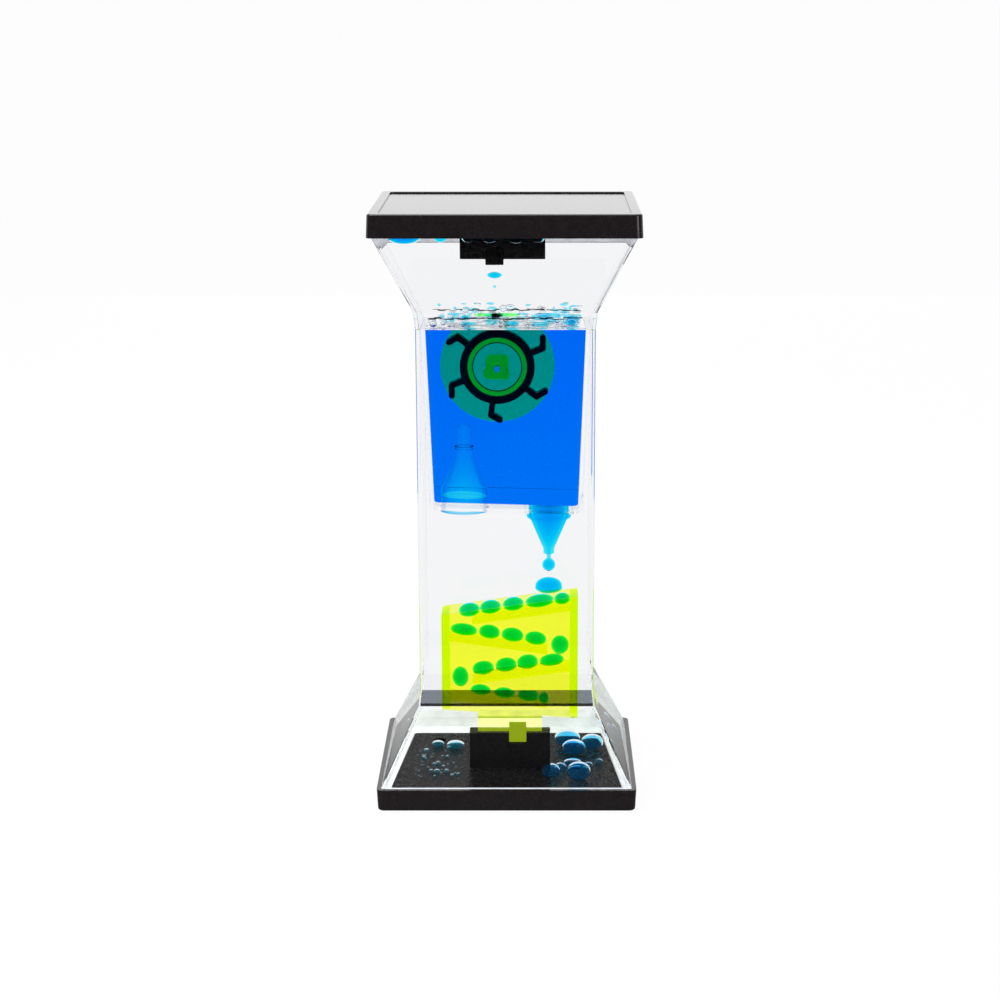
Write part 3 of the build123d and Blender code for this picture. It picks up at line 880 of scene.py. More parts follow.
@dataclass
class EndCaps(Assembly):
    """The two black trays that close the case, with the blocks on their pads.

    Attributes:
        draft: How far a side leans in towards the outer face.
        corner: Rounding of the upright corners.
        edge: Rounding of the outer edge.
        lip: Wall round the clear foot.
        moat: Height of the moat's floor, in which the foot stands.
        moat_width: Width of the moat at the sides, and at the front and back.
        pad_shift: How far the pad lies in front of the middle.
        pad: Height of the pad inside the moat.
        pad_root: How deep the pad is set into the moat's floor.
        rim: Width of the raised rim on the outer face.
        recess: Depth of the recess inside the rim.
        settle: How much lower the base block's top looks in the photograph.
        block_foot: Height of the base block's foot, which stays where it is.
        block_edge: Rounding of the blocks.
        plug_edge: Rounding of the plug.
    """

    draft: float = 0.25 * MM
    corner: float = 1.6 * MM
    edge: float = 0.45 * MM
    lip: float = 1.05 * MM
    moat: float = 2.2 * MM
    moat_width: Pair = (2.5 * MM, 6.4 * MM)
    pad_shift: float = 1.4 * MM
    pad: float = 4.0 * MM
    pad_root: float = 0.5 * MM
    rim: float = 2.7 * MM
    recess: float = 0.35 * MM
    settle: float = 1.4 * MM
    block_foot: float = 4.0 * MM
    block_edge: float = 0.18 * MM
    plug_edge: float = 0.15 * MM

    def tray(self, node: str) -> Piece:
        """Models one tray with its outer face down.

        Args:
            node: CAD node that it stands for.

        Returns:
            The tray, at the base.
        """
        low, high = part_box(node)
        width, depth, height = high - low
        sections = [(width - 2 * self.draft, depth - 2 * self.draft, 0.0), (width, depth, height)]
        tray = Bench.tower(f"{node}_tray", sections)
        with Bench.editing(tray):
            Bench.pick_edges(tray, lambda a, b: abs(a.z - b.z) > height / 2)
            bpy.ops.mesh.bevel(offset=self.corner, segments=6, affect="EDGES")
            Bench.pick_edges(tray, lambda a, b: max(a.z, b.z) < NEAR)
            bpy.ops.mesh.bevel(offset=self.edge, segments=3, affect="EDGES")
            Bench.pick_faces(tray, lambda at, out: at.z > height - NEAR)
            bpy.ops.mesh.inset(thickness=self.lip)
            Bench.extrude(self.moat - height)
        inset = [2 * (self.lip + moat) for moat in self.moat_width]
        pad = self.block("pad", (width - inset[0], depth - inset[1]), self.moat - self.pad_root, self.pad)
        with Bench.editing(pad):
            Bench.select_all()
            bpy.ops.transform.translate(value=(0.0, -self.pad_shift, 0.0))
            Bench.pick_points(pad, lambda at: at.y > 0.0)
            Bench.resize(PAD_TAPER, 1.0)
        Bench.combine(tray, pad, "UNION")
        well = self.block("well", (width - 2 * self.rim, depth - 2 * self.rim), -MM, self.recess)
        Bench.combine(tray, well, "DIFFERENCE")
        Bench.smooth(tray, flat_faces=True)
        Bench.paint(tray, (self.finishes.black, self.finishes.black_inside),
                    lambda face: abs(face.center.z - self.pad) < NEAR)
        return tray

    def block(self, name: str, sides: Pair, low: float, high: float) -> Piece:
        """Models a plain block with rounded upright corners.

        Args:
            name: The piece's name.
            sides: Width and depth.
            low: Height of its underside.
            high: Height of its top.

        Returns:
            The block.
        """
        piece = Bench.tower(name, [(*sides, low), (*sides, high)])
        with Bench.editing(piece):
            Bench.pick_edges(piece, lambda a, b: abs(a.z - b.z) > MM / 2)
            bpy.ops.mesh.bevel(offset=self.corner / 2, segments=5, affect="EDGES")
        return piece

    def build(self) -> None:
        """Models and dresses both trays, both blocks and the plug."""
        for node in ("base_cap", "top_cap"):
            tray = self.tray(node)
            if node == "top_cap":
                Bench.turn_over(tray)
            self.place(tray, Slot.BLACK, (), [node])
        for node in ("base_socket", "top_socket"):
            block = Bench.refined(node, f"{node}_block", self.block_edge)
            if node == "base_socket":
                with Bench.editing(block):
                    Bench.pick_points(block, lambda at: at.z > self.pad + self.block_foot)
                    bpy.ops.transform.translate(value=(0.0, 0.0, -self.settle))
            self.place(block, Slot.BLACK, [self.finishes.black_inside], [node])
        plug = Bench.refined("fill_plug", "fill_plug_stopper", self.plug_edge)
        self.place(plug, Slot.RUBBER, [self.finishes.rubber], ["fill_plug"])


@dataclass
class ClearCase(Assembly):
    """Two clear hoppers joined by a square tube, each with a flange round its foot.

    Attributes:
        foot: Height of the flange's underside, just above the cap's moat.
        flange: Width of the flange at the sides, and at the front and back.
        hole_shift: How far the flange's opening lies in front of the middle.
        fillet: Height of the fillet above the foot, which takes painted light behind the back wall.
        shoulder: Height of the straight foot above the table.
        flare: Height of the flare.
        collar: Height of the short collar between flare and tube.
        collar_spread: How far the collar's lower end stands out from the tube.
        tube: Width and depth of the tube.
        wall: Thickness of the walls.
        corner: Rounding of the upright corners.
        joint_gap: Gap at the glued joint.
        collar_shade_line: Height of the line of painted shade at the collar's lower end.
        facing: How far a normal leans along y on a back wall with a fillet, and on a front wall.
    """

    foot: float = 2.9 * MM
    flange: Pair = (2.2 * MM, 6.1 * MM)
    hole_shift: float = 1.4 * MM
    fillet: float = 2.3 * MM
    shoulder: float = 5.6 * MM
    flare: float = 19.0 * MM
    collar: float = 4.15 * MM
    collar_spread: float = 0.45 * MM
    tube: Pair = (43.5 * MM, 33.4 * MM)
    wall: float = 1.1 * MM
    corner: float = 0.7 * MM
    joint_gap: float = 0.05 * MM
    collar_shade_line: float = 0.75 * MM
    facing: Pair = (0.7, -0.9)

    def hopper(self, node: str) -> list[Point]:
        """Gives the sections of a hopper, from its foot to its joint.

        Args:
            node: CAD node of the hopper.

        Returns:
            Width, depth and height of each section, with the foot at the base.
        """
        low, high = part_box(node)
        width, depth = high.x - low.x, high.y - low.y
        neck = self.shoulder + self.flare
        hole = (width - 2 * self.flange[0], depth - 2 * self.flange[1])
        neck_sides = [side + 2 * self.collar_spread for side in self.tube]
        share = self.fillet / self.flare
        fillet = [foot + share * (end - foot) for foot, end in zip((width, depth), neck_sides)]
        share = self.collar_shade_line / self.collar
        line = [side + share * (end - side) for side, end in zip(neck_sides, self.tube)]
        return [(*hole, self.foot), (width, depth, self.foot), (width, depth, self.shoulder),
                (*fillet, self.shoulder + self.fillet), (*neck_sides, neck), (*line, neck + self.collar_shade_line),
                (*self.tube, neck + self.collar)]

    def shell(self, name: str, sections: Sequence[Point]) -> Piece:
        """Models a shell through a pile of sections, open at the joint and inside the foot's flange.

        Args:
            name: The piece's name.
            sections: Width, depth and height of each section.

        Returns:
            The shell with its wall, and its own material inside.
        """
        piece = Bench.tower(name, sections)
        low, high = sections[0][2], sections[-1][2]
        with Bench.editing(piece):
            Bench.pick_edges(piece, lambda a, b: abs(a.z - b.z) > NEAR)
            bpy.ops.mesh.bevel(offset=self.corner, segments=4, affect="EDGES")
            Bench.pick_faces(piece, lambda at, out: abs(at.z - high) < NEAR)
            bpy.ops.mesh.delete(type="FACE")
            Bench.pick_faces(piece, lambda at, out: abs(at.z - low) < NEAR and math.hypot(at.x, at.y) < MM)
            bpy.ops.transform.translate(value=(0.0, -self.hole_shift, 0.0))
            bpy.ops.mesh.delete(type="FACE")
            Bench.pick_points(piece, lambda at: abs(at.z - low) < NEAR and 0.0 < at.y < sections[0][1] / 2)
            Bench.resize(PAD_TAPER, 1.0)
        looks = self.finishes
        for material in (looks.case_outside, looks.case_inside, looks.collar_front_shade, looks.foot_light_paint,
                         looks.collar_shade_line, looks.fillet_light_paint):
            piece.data.materials.append(material)
        Bench.wall(piece, self.wall)
        # The foot's outer faces take the pale finish painted with light.
        for face in piece.data.polygons:
            if face.material_index == CaseFace.OUTSIDE and face.center.z < self.shoulder:
                face.material_index = CaseFace.FOOT_SEAL
        return piece

    def paint_collar_shade(self, piece: Piece) -> None:
        """Paints shade on the collar's front faces, darkest in a line at its lower end, and paints light on
        the back faces by the fillet.

        Args:
            piece: Shell of the lower hopper.
        """
        low = self.shoulder + self.flare
        for face in piece.data.polygons:
            lean, z = face.normal.y, face.center.z
            if face.material_index != CaseFace.OUTSIDE:
                continue
            # The back faces by the fillet take the pale finish painted with light.
            if lean > self.facing[0] and z < self.shoulder + self.fillet:
                face.material_index = CaseFace.FILLET_SEAL
            # Painted shade on the collar's front faces, darkest in the line at its lower end.
            elif lean < self.facing[1] and low < z < low + self.collar:
                dark = z < low + self.collar_shade_line
                face.material_index = CaseFace.JOINT_LINE if dark else CaseFace.JOINT_BAND

    def build(self) -> None:
        """Models and dresses both hoppers."""
        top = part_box("lower_case")[1].z
        sections = self.hopper("lower_case") + [(*self.tube, top - self.joint_gap)]
        lower = self.shell("lower_case_shell", sections)
        self.paint_collar_shade(lower)
        self.place(lower, Slot.CLEAR, (), ["lower_case"])
        upper = self.shell("upper_case_shell", self.hopper("upper_case"))
        Bench.turn_over(upper)
        self.place(upper, Slot.CLEAR, (), ["upper_case"])


@dataclass
class Cup(Assembly):
    """The drafted cup that hangs in the tube, with its two funnels.

    Attributes:
        mouth: Outer width and depth of the cup at the joint.
        taper: How far each side draws in towards the floor.
        wall: Thickness of the cup.
        corner: Rounding of the upright corners.
        heel: Rounding of the bottom edge.
        joint: Height of the joint that the cup hangs from.
        floor: Height of the cup's floor inside.
        floor_thickness: Thickness of the cup's floor.
        tilt: How much lower the floor lies on the right.
        reach: Distance of the funnels from the middle.
        slide_throat: Radius of the hole for the slide funnel.
        wheel_throat: Radius of the hole for the wheel funnel.
        boss: Height and thickness of the boss under the floor.
        press: Gap between a funnel and its hole.
        soft: Rounding of the funnels' edges.
        flange: Thickness of the slide funnel's flange, and how far flanges stand out from their hole.
        bore: Radius of the slide funnel's bore and its height above the flange, from spigot to tip.
        nozzle_wall: Thickness of the slide funnel.
        ring: Underside and top of the wheel funnel's flange, above the slide funnel's.
        bell: Height of the wheel funnel's bell above the floor, at its foot and at its top.
        lip: Radius and height of the wheel funnel's lip.
        column: Radius of the oil column's hollow.
        dome: Radius and depth of the rings at the hollow's end, against its radius.
    """

    mouth: Pair = (41.2 * MM, 31.1 * MM)
    taper: float = 1.65 * MM
    wall: float = 1.1 * MM
    corner: float = 2.6 * MM
    heel: float = 1.6 * MM
    joint: float = 120.2 * MM
    floor: float = 76.51 * MM
    floor_thickness: float = 2.0 * MM
    tilt: float = 0.9 * MM
    reach: float = 10.6 * MM
    slide_throat: float = 5.1 * MM
    wheel_throat: float = 5.75 * MM
    boss: Pair = (3.2 * MM, 1.0 * MM)
    press: float = 0.05 * MM
    soft: float = 0.2 * MM
    flange: Pair = (0.9 * MM, 0.4 * MM)
    bore: tuple[Pair, ...] = ((4.6 * MM, 3.5 * MM), (4.15 * MM, 0.0), (0.8 * MM, -8.0 * MM),
                              (0.8 * MM, -9.4 * MM))
    nozzle_wall: float = 0.6 * MM
    ring: Pair = (1.8 * MM, 2.6 * MM)
    bell: Pair = (1.7 * MM, 11.85 * MM)
    lip: Pair = (2.5 * MM, 0.6 * MM)
    column: float = 1.9 * MM
    dome: tuple[Pair, ...] = ((0.96, 0.9), (0.7, 0.3), (0.0, 0.0))

    def outside(self, name: str, gap: float, low: float, high: float, corner: float, heel: float) -> Piece:
        """Models a drafted block in the form of the cup.

        Args:
            name: The piece's name.
            gap: How far it lies inside the cup's outer faces.
            low: Height of its floor.
            high: Height of its top.
            corner: Rounding of the upright corners.
            heel: Rounding of the bottom edge.

        Returns:
            The closed block.
        """
        bottom = [side - 2 * (self.taper + gap) for side in self.mouth]
        top = [side - 2 * gap for side in self.mouth]
        block = Bench.tower(name, [(*bottom, low), (*top, high)])
        with Bench.editing(block):
            Bench.pick_edges(block, lambda a, b: abs(a.z - b.z) > NEAR)
            bpy.ops.mesh.bevel(offset=corner, segments=6, affect="EDGES")
            Bench.pick_edges(block, lambda a, b: max(a.z, b.z) < low + NEAR)
            bpy.ops.mesh.bevel(offset=heel, segments=4, affect="EDGES")
            Bench.pick_points(block, lambda at: at.x > self.reach and at.z < low + 3 * MM)
            bpy.ops.transform.translate(value=(0.0, 0.0, -self.tilt))
        return block

    def funnel_form(self, name: str, grow: float, foot: float, stream: float = 0.0) -> Piece:
        """Models the bell-shaped outer form of the wheel funnel.

        Args:
            name: The piece's name.
            grow: How far it stands out from the funnel.
            foot: Height at which it starts.
            stream: Length of the oil column above the lip.

        Returns:
            The closed form.
        """
        base, top = (self.floor + rise for rise in self.bell)
        profile = [(self.wheel_throat + grow, foot), (self.wheel_throat + grow, base)]
        tip, curve, steps = 2.15 * MM, 1.35, 8
        for step in range(1, steps + 1):
            share = step / steps
            radius = tip + (self.wheel_throat - tip) * (1 - share) ** curve
            profile.append((radius + grow, base + share * (top - base)))
        lip, end = self.lip[0] + grow, top + self.lip[1]
        profile += [(lip, top), (lip, end)]
        if stream:
            profile.append((self.column, end))
            profile += [(self.column * wide, end + stream - self.column * deep) for wide, deep in self.dome]
        return Bench.lathe(name, profile, (-self.reach, 0.0, 0.0))

    def flange_level(self) -> float:
        """Gives the height of the slide funnel's flange."""
        return self.floor - self.floor_thickness - self.boss[0] - self.flange[0]

    def nozzle_bore(self) -> list[Pair]:
        """Gives radius and height of the slide funnel's bore, from its spigot's top to its tip."""
        return [(radius, self.flange_level() + rise) for radius, rise in self.bore]

    def build(self) -> None:
        """Models and dresses the cup, its boss and both funnels."""
        under = self.floor - self.floor_thickness
        cup = self.outside("cup_shell", 0.0, under, self.joint, self.corner, self.heel)
        with Bench.editing(cup):
            Bench.pick_faces(cup, lambda at, out: at.z > self.joint - NEAR)
            bpy.ops.mesh.delete(type="FACE")
        Bench.wall(cup, self.wall)
        for x, radius in ((self.reach, self.slide_throat), (-self.reach, self.wheel_throat)):
            drill = Bench.lathe("drill", [(radius, under - MM), (radius, self.floor + 2 * MM)], (x, 0.0, 0.0))
            Bench.combine(cup, drill, "DIFFERENCE")
        rim = self.slide_throat + self.boss[1]
        low, high = under - self.boss[0], under - 0.02 * MM
        rings = [(self.slide_throat, low), (rim, low), (rim, high), (self.slide_throat, high)]
        boss = Bench.lathe("boss", rings, (self.reach, 0.0, 0.0), closed=True)
        cup = Bench.gather([cup, boss], "cup_shell")
        cup.data.materials.clear()
        Bench.smooth(cup, CUP_ANGLE)
        self.place(cup, Slot.CLEAR, [self.finishes.cup], ["upper_case"])
        self.slide_funnel()
        self.wheel_funnel()

    def slide_funnel(self) -> None:
        """Turns the nozzle over the slide: spigot, flange, cone and neck."""
        bore = self.nozzle_bore()
        (_, top), (cone, flange), (neck, shoulder), (_, tip) = bore
        wall, soft, blunt = self.nozzle_wall, self.soft, 0.7
        seat = flange + self.flange[0]
        rim = self.slide_throat + self.flange[1]
        spigot = self.slide_throat - self.press
        profile = [*bore, (neck + wall * blunt, tip), (neck + wall, tip + soft), (neck + wall, shoulder),
                   (cone + wall, flange), (rim - soft, flange), (rim, flange + soft), (rim, seat - soft),
                   (rim - soft, seat), (spigot, seat), (spigot, top)]
        nozzle = Bench.lathe("slide_funnel_turned", profile, (self.reach, 0.0, 0.0), closed=True)
        Bench.smooth(nozzle, TURNED_ANGLE)
        self.place(nozzle, Slot.CLEAR, [self.finishes.nozzle], ["slide_funnel"])

    def wheel_funnel(self) -> None:
        """Turns the nozzle under the wheel: flange, spigot, bell and lip, hollowed by a second turning."""
        low, high = (self.flange_level() + rise for rise in self.ring)
        bell = self.funnel_form("wheel_funnel_turned", -self.press, low + 2 * self.press)
        bell_wall = 0.5 * MM
        hollow = self.funnel_form("hollow", -self.press - bell_wall, low - MM)
        with Bench.editing(hollow):
            Bench.pick_points(hollow, lambda at: at.z > self.floor + self.bell[1] + self.lip[1] / 2)
            bpy.ops.transform.translate(value=(0.0, 0.0, MM))
        Bench.combine(bell, hollow, "DIFFERENCE")
        inner, outer, soft = self.wheel_throat, self.wheel_throat + self.flange[1], self.soft
        rings = [(inner, low), (outer - soft, low), (outer, low + soft), (outer, high - soft),
                 (outer - soft, high), (inner, high)]
        ring = Bench.lathe("wheel_funnel_flange", rings, (-self.reach, 0.0, 0.0), closed=True)
        Bench.smooth(ring, TURNED_ANGLE)
        # The flange's front faces take the painted blue light; the rest stays clear.
        Bench.paint(ring, (self.finishes.funnel, self.finishes.flange), lambda face: face.center.y < -MM)
        self.place(ring, Slot.CLEAR, (), ["wheel_funnel"])
        Bench.smooth(bell, TURNED_ANGLE)
        self.place(bell, Slot.CLEAR, [self.finishes.funnel], ["wheel_funnel"])


@dataclass
class WaterWheel(Assembly):
    """Green wheel with its black paddles, its pin and the two bosses that carry the pin.

    Attributes:
        step: Radius inside the step that seats the paddles, and the y of its front face.
        shade_ring: Width and thickness of the dark ring that paints shade along the step's front edge.
        shade_ring_soft: Rounding of that ring against its width.
        boss_edge: Rounding of the bosses.
    """

    step: Pair = (6.19 * MM, -1.55 * MM)
    shade_ring: Pair = (0.26 * MM, 0.3 * MM)
    shade_ring_soft: float = 0.3
    boss_edge: float = 0.1 * MM

    def ring(self) -> Piece:
        """Turns the thin dark ring that puts painted shade along the front edge of the wheel's step.

        Returns:
            The ring, lying round the wheel's axis.
        """
        outer = self.step[0]
        inner, half = outer - self.shade_ring[0], self.shade_ring[1] / 2
        soft = self.shade_ring_soft * self.shade_ring[0]
        profile = [(inner, -half), (outer, -half), (outer, half - soft), (outer - soft, half), (inner, half)]
        ring = Bench.lathe("step_shade_ring", profile, ORIGIN, closed=True)
        low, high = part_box("water_wheel")
        middle = (low + high) / 2
        with Bench.editing(ring):
            Bench.select_all()
            bpy.ops.transform.rotate(value=math.pi / 2, orient_axis="X", center_override=ORIGIN)
            bpy.ops.transform.translate(value=(middle.x, self.step[1] + half, middle.z))
        Bench.smooth(ring, TURNED_ANGLE)
        return ring

    def build(self) -> None:
        """Refines and dresses the wheel's pieces."""
        looks = self.finishes
        # A dark ring laid as painted shade along the front edge of the step.
        self.place(self.ring(), Slot.BLACK, [looks.black_inside], ["paddle_ring"], Body.WHEEL)
        turning = (("water_wheel", "wheel_disc_and_hub", 0.12 * MM, Slot.GREEN, looks.green),
                   ("paddle_ring", "hooked_paddles", 0.14 * MM, Slot.BLACK, looks.black_inside),
                   ("wheel_axle", "wheel_pin", 0.15 * MM, Slot.STEEL, looks.steel))
        for node, name, edge, slot, finish in turning:
            self.place(Bench.refined(node, name, edge), slot, [finish], [node], Body.WHEEL)
        for node in ("front_bearing", "back_bearing"):
            boss = Bench.refined(node, f"{node}_boss", self.boss_edge)
            self.place(boss, Slot.CLEAR, [looks.bearing], [node])


@dataclass
class Slide(Assembly):
    """Yellow zig-zag slide: back plate with ramps, two side walls, and the front plate with its leg.

    Attributes:
        middle: x of the slide's middle.
        top: Height of the top edge in the middle.
        bottom: Height of the bottom edge in the middle.
        slope: Rise of the top edge and of the ramps along x.
        bottom_slope: Rise of the bottom edge along x.
        back: Thickness of the back plate.
        side: Thickness of the side walls.
        ramps: Number of ramps.
        first: Height of the first ramp in the middle.
        pitch: Distance from ramp to ramp.
        ramp: Thickness of a ramp.
        gap: Gap at the lower end of a ramp.
        air: Gap between pieces that would otherwise share a face.
        edge: Rounding of the plates.
        ramp_edge: Rounding of the ramps.
    """

    middle: float = 0.7 * MM
    top: float = 48.31 * MM
    bottom: float = 18.2 * MM
    slope: float = 0.1394
    bottom_slope: float = -0.065
    back: float = 1.2 * MM
    side: float = 2.0 * MM
    ramps: int = 4
    first: float = 45.61 * MM
    pitch: float = 8.0 * MM
    ramp: float = 1.0 * MM
    gap: float = 5.8 * MM
    air: float = 0.03 * MM
    edge: float = 0.15 * MM
    ramp_edge: float = 0.12 * MM

    def slanted(self, left: float, right: float, low: Pair, high: Pair) -> list[Pair]:
        """Gives the corners of a plate between two slanted edges.

        Args:
            left: x of the left end.
            right: x of the right end.
            low: Height in the middle and slope of the lower edge.
            high: Height in the middle and slope of the upper edge.

        Returns:
            x and z of the lower left, lower right, upper right and upper left corners.
        """
        ends = ((left, low), (right, low), (right, high), (left, high))
        return [(x, edge[0] + edge[1] * (x - self.middle)) for x, edge in ends]

    def ramp_slope(self, row: int) -> float:
        """Gives the rise of a ramp along x, which changes sides from row to row."""
        return self.slope if row % 2 == 0 else -self.slope

    def ramp_top(self, row: int, x: float) -> float:
        """Gives the height of a ramp's upper face at x."""
        return self.first - row * self.pitch + self.ramp_slope(row) * (x - self.middle)

    def build(self) -> None:
        """Models and dresses the slide."""
        low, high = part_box("slide_tray")
        left, right = low.x, high.x
        inner = high.y - self.back
        depth = (low.y + self.air, inner - self.air)
        bottom, top = (self.bottom, self.bottom_slope), (self.top, self.slope)
        plate = Bench.plate("slide_back_plate", self.slanted(left, right, bottom, top), inner, high.y)
        Bench.round_edges(plate, self.edge)
        plates = [plate]
        for row in range(self.ramps):
            slope = self.ramp_slope(row)
            start = left + self.side + (self.gap if row % 2 == 0 else self.air)
            end = right - self.side - (self.gap if row % 2 else self.air)
            level = self.first - row * self.pitch
            corners = self.slanted(start, end, (level - self.ramp, slope), (level, slope))
            ramp = Bench.plate("ramp", corners, *depth)
            Bench.round_edges(ramp, self.ramp_edge)
            plates.append(ramp)
        tray = Bench.gather(plates, "slide_back_and_ramps")
        Bench.smooth(tray, flat_faces=True)
        self.place(tray, Slot.YELLOW, [self.finishes.yellow], ["slide_tray"])
        sides = []
        for start, end in ((left, left + self.side), (right - self.side, right)):
            wall = Bench.plate("side", self.slanted(start, end, bottom, top), *depth)
            Bench.round_edges(wall, self.edge)
            sides.append(wall)
        walls = Bench.gather(sides, "slide_side_walls")
        Bench.smooth(walls, flat_faces=True)
        self.place(walls, Slot.YELLOW, [self.finishes.yellow_edge], ["slide_tray"])
        front = Bench.refined("slide_front", "slide_front_plate", self.edge)
        foot = self.bottom - self.side / 2
        with Bench.editing(front):
            Bench.select_all()
            bpy.ops.mesh.bisect(plane_co=(0.0, 0.0, foot), plane_no=(0.0, 0.0, 1.0))
        # The leg below the foot takes the yellow finish with strong painted light.
        Bench.paint(front, (self.finishes.yellow, self.finishes.leg), lambda face: face.center.z < foot)
        self.place(front, Slot.YELLOW, (), ["slide_front"])


@dataclass
class Liquids(Assembly):
    """Dyed water in the cup, its foam, the oil stream and every drop.

    Attributes:
        cup: Cup that holds the water.
        slide: Slide that the drops run down.
        level: Height of the water at the cup's rim.
        swell: How far the water stands above its rim over the wheel.
        ridge: Length and depth of the swell's flat top.
        gap: Gap between the water and the cup.
        heel: Rounding of the water's bottom edge.
        stream: Length of the oil column's hollow above the lip, and of the column.
        contact_lines: y and z of the lines where the surface meets the back and the front wall.
        back_wall: y and z of a point on the hopper's back wall.
        back_slope: Slope of that wall.
        drop: Length, depth and height of a drop on the slide.
        sag: Swelling of a drop's lower half.
        rows: For each ramp, x of its drops in millimetres, with length and height against the usual drop.
        falling: Row, x and height above the ramp in millimetres, length and height of the falling drops.
        base_drops: x, y and radius in millimetres and flatness of the drops on the base.
        lenses: x, y, length, depth and height in millimetres of the flat drops on the left.
        top_drops: x, y, radius and height in millimetres of the drops under the top.
        seed: Seed of the scattered bubbles and beads.
    """

    cup: Cup = field(kw_only=True)
    slide: Slide = field(kw_only=True)
    level: float = 120.3 * MM
    swell: float = 2.0 * MM
    ridge: Pair = (19.0 * MM, 6.0 * MM)
    gap: float = 0.06 * MM
    heel: float = 0.5 * MM
    stream: Pair = (5.9 * MM, 5.7 * MM)
    contact_lines: tuple[Pair, ...] = ((15.6 * MM, 125.1 * MM), (-14.3 * MM, 122.8 * MM))
    back_wall: Pair = (15.35 * MM, 124.4 * MM)
    back_slope: float = 0.36
    drop: Point = (5.5 * MM, 4.6 * MM, 3.9 * MM)
    sag: float = 0.06
    rows: tuple = (((-9.6, 1.0, 1.0), (-4.2, 1.0, 1.0), (1.6, 1.0, 1.0), (8.3, 1.35, 0.95),
                    (14.0, 0.75, 0.85)),
                   ((-11.0, 1.25, 0.85), (-4.5, 1.0, 1.0), (1.4, 1.05, 1.0), (7.3, 1.02, 0.95)),
                   ((11.4, 1.15, 0.85), (5.2, 1.0, 1.02), (-0.3, 1.0, 1.0), (-6.2, 1.02, 0.98)),
                   ((-6.8, 1.0, 0.9), (-0.7, 1.0, 0.9), (5.4, 1.0, 0.9), (9.4, 0.5, 0.8)))
    falling: tuple = ((1, 13.5, 1.0, 0.85, 1.3), (2, -12.0, 0.4, 0.78, 1.4))
    base_drops: tuple = ((18.2, -15.0, 3.1, 0.75), (11.2, -13.0, 2.3, 0.75), (13.6, -9.4, 1.6, 0.7),
                         (15.6, 8.6, 3.4, 0.6), (17.2, 2.6, 3.1, 0.6), (22.0, 6.4, 2.9, 0.65),
                         (20.8, -7.4, 1.2, 0.7), (23.6, -4.4, 1.0, 0.7), (16.8, -4.8, 2.3, 0.3))
    lenses: tuple = ((-18.2, 7.8, 3.2, 3.0, 1.6), (-13.6, 6.8, 4.6, 4.2, 1.9))
    top_drops: tuple = ((-24.0, -16.0, 3.9, 3.0), (-15.3, -17.0, 1.7, 2.5), (-8.8, -16.5, 1.6, 2.5),
                        (-3.6, -17.0, 2.2, 2.6), (2.6, -16.5, 2.3, 2.7), (7.8, -16.5, 1.8, 2.5))
    seed: int = 7

    def build(self) -> None:
        """Models and dresses the liquids."""
        self.water()
        self.oil_column()
        self.foam()
        self.slide_drops()
        self.nozzle_drops()
        self.base_pool()
        self.hanging_drops()

    def finish(self, piece: Piece, slot: Slot, finish: Material, node: str) -> None:
        """Shades a rounded piece smooth and dresses it.

        Args:
            piece: The piece, in place.
            slot: Slot of the record, handed on to place.
            finish: Its material.
            node: CAD node that it stands for.
        """
        Bench.smooth(piece, DROP_ANGLE)
        self.place(piece, slot, [finish], [node])

    def water(self) -> None:
        """Models the water: the cup's hollow less the wheel funnel, and the slide funnel's hollow."""
        cup = self.cup
        skin = cup.wall + self.gap
        corner = cup.corner - cup.wall
        body = cup.outside("cup_water", skin, cup.floor + self.gap, self.level, corner, self.heel)
        with Bench.editing(body):
            Bench.pick_faces(body, lambda at, out: at.z > self.level - NEAR)
            Bench.extrude(self.swell)
            shrink = [flat / (side - 2 * skin) for flat, side in zip(self.ridge, cup.mouth)]
            Bench.resize(*shrink, level=self.level + self.swell)
        bell = cup.funnel_form("bell", self.gap, cup.floor - self.heel, self.stream[0])
        Bench.combine(body, bell, "DIFFERENCE")
        bore = [(radius - self.gap, z) for radius, z in cup.nozzle_bore()]
        neck = cup.slide_throat - self.gap
        profile = [(neck, cup.floor - cup.tilt), (neck, bore[0][1] + 2 * cup.press), *bore]
        fill = Bench.lathe("nozzle_water", profile, (cup.reach, 0.0, 0.0))
        Bench.smooth(fill, TURNED_ANGLE, True)
        self.place(fill, Slot.WATER, [self.finishes.nozzle_water], ["blue_water"])
        Bench.paint(body, (self.finishes.water, self.finishes.surface),
                    lambda face: face.center.z > self.level + NEAR)
        Bench.smooth(body, TURNED_ANGLE, True)
        self.place(body, Slot.WATER, (), ["blue_water"])

    def oil_column(self) -> None:
        """Turns the oil column that rises out of the wheel funnel's lip."""
        cup, film = self.cup, 0.15 * MM
        lip = cup.floor + cup.bell[1] + cup.lip[1]
        radius, end = cup.column - film, lip + self.stream[1]
        profile = [(radius, lip), (radius, end - radius)]
        profile += [(radius * wide, end - radius * deep) for wide, deep in cup.dome[1:]]
        stream = Bench.lathe("oil_column", profile, (-cup.reach, 0.0, 0.0))
        self.finish(stream, Slot.OIL, self.finishes.oil, "oil_stream")

    def surface(self, x: float, y: float) -> float:
        """Gives the height of the water at x and y.

        Args:
            x: Place along the cup's width.
            y: Place along the cup's depth.

        Returns:
            The height.
        """
        half = [side / 2 - self.cup.wall for side in self.cup.mouth]
        share = [(edge - abs(at)) / (edge - flat / 2) for edge, at, flat in zip(half, (x, y), self.ridge)]
        return self.level + self.swell * min(1.0, *share)

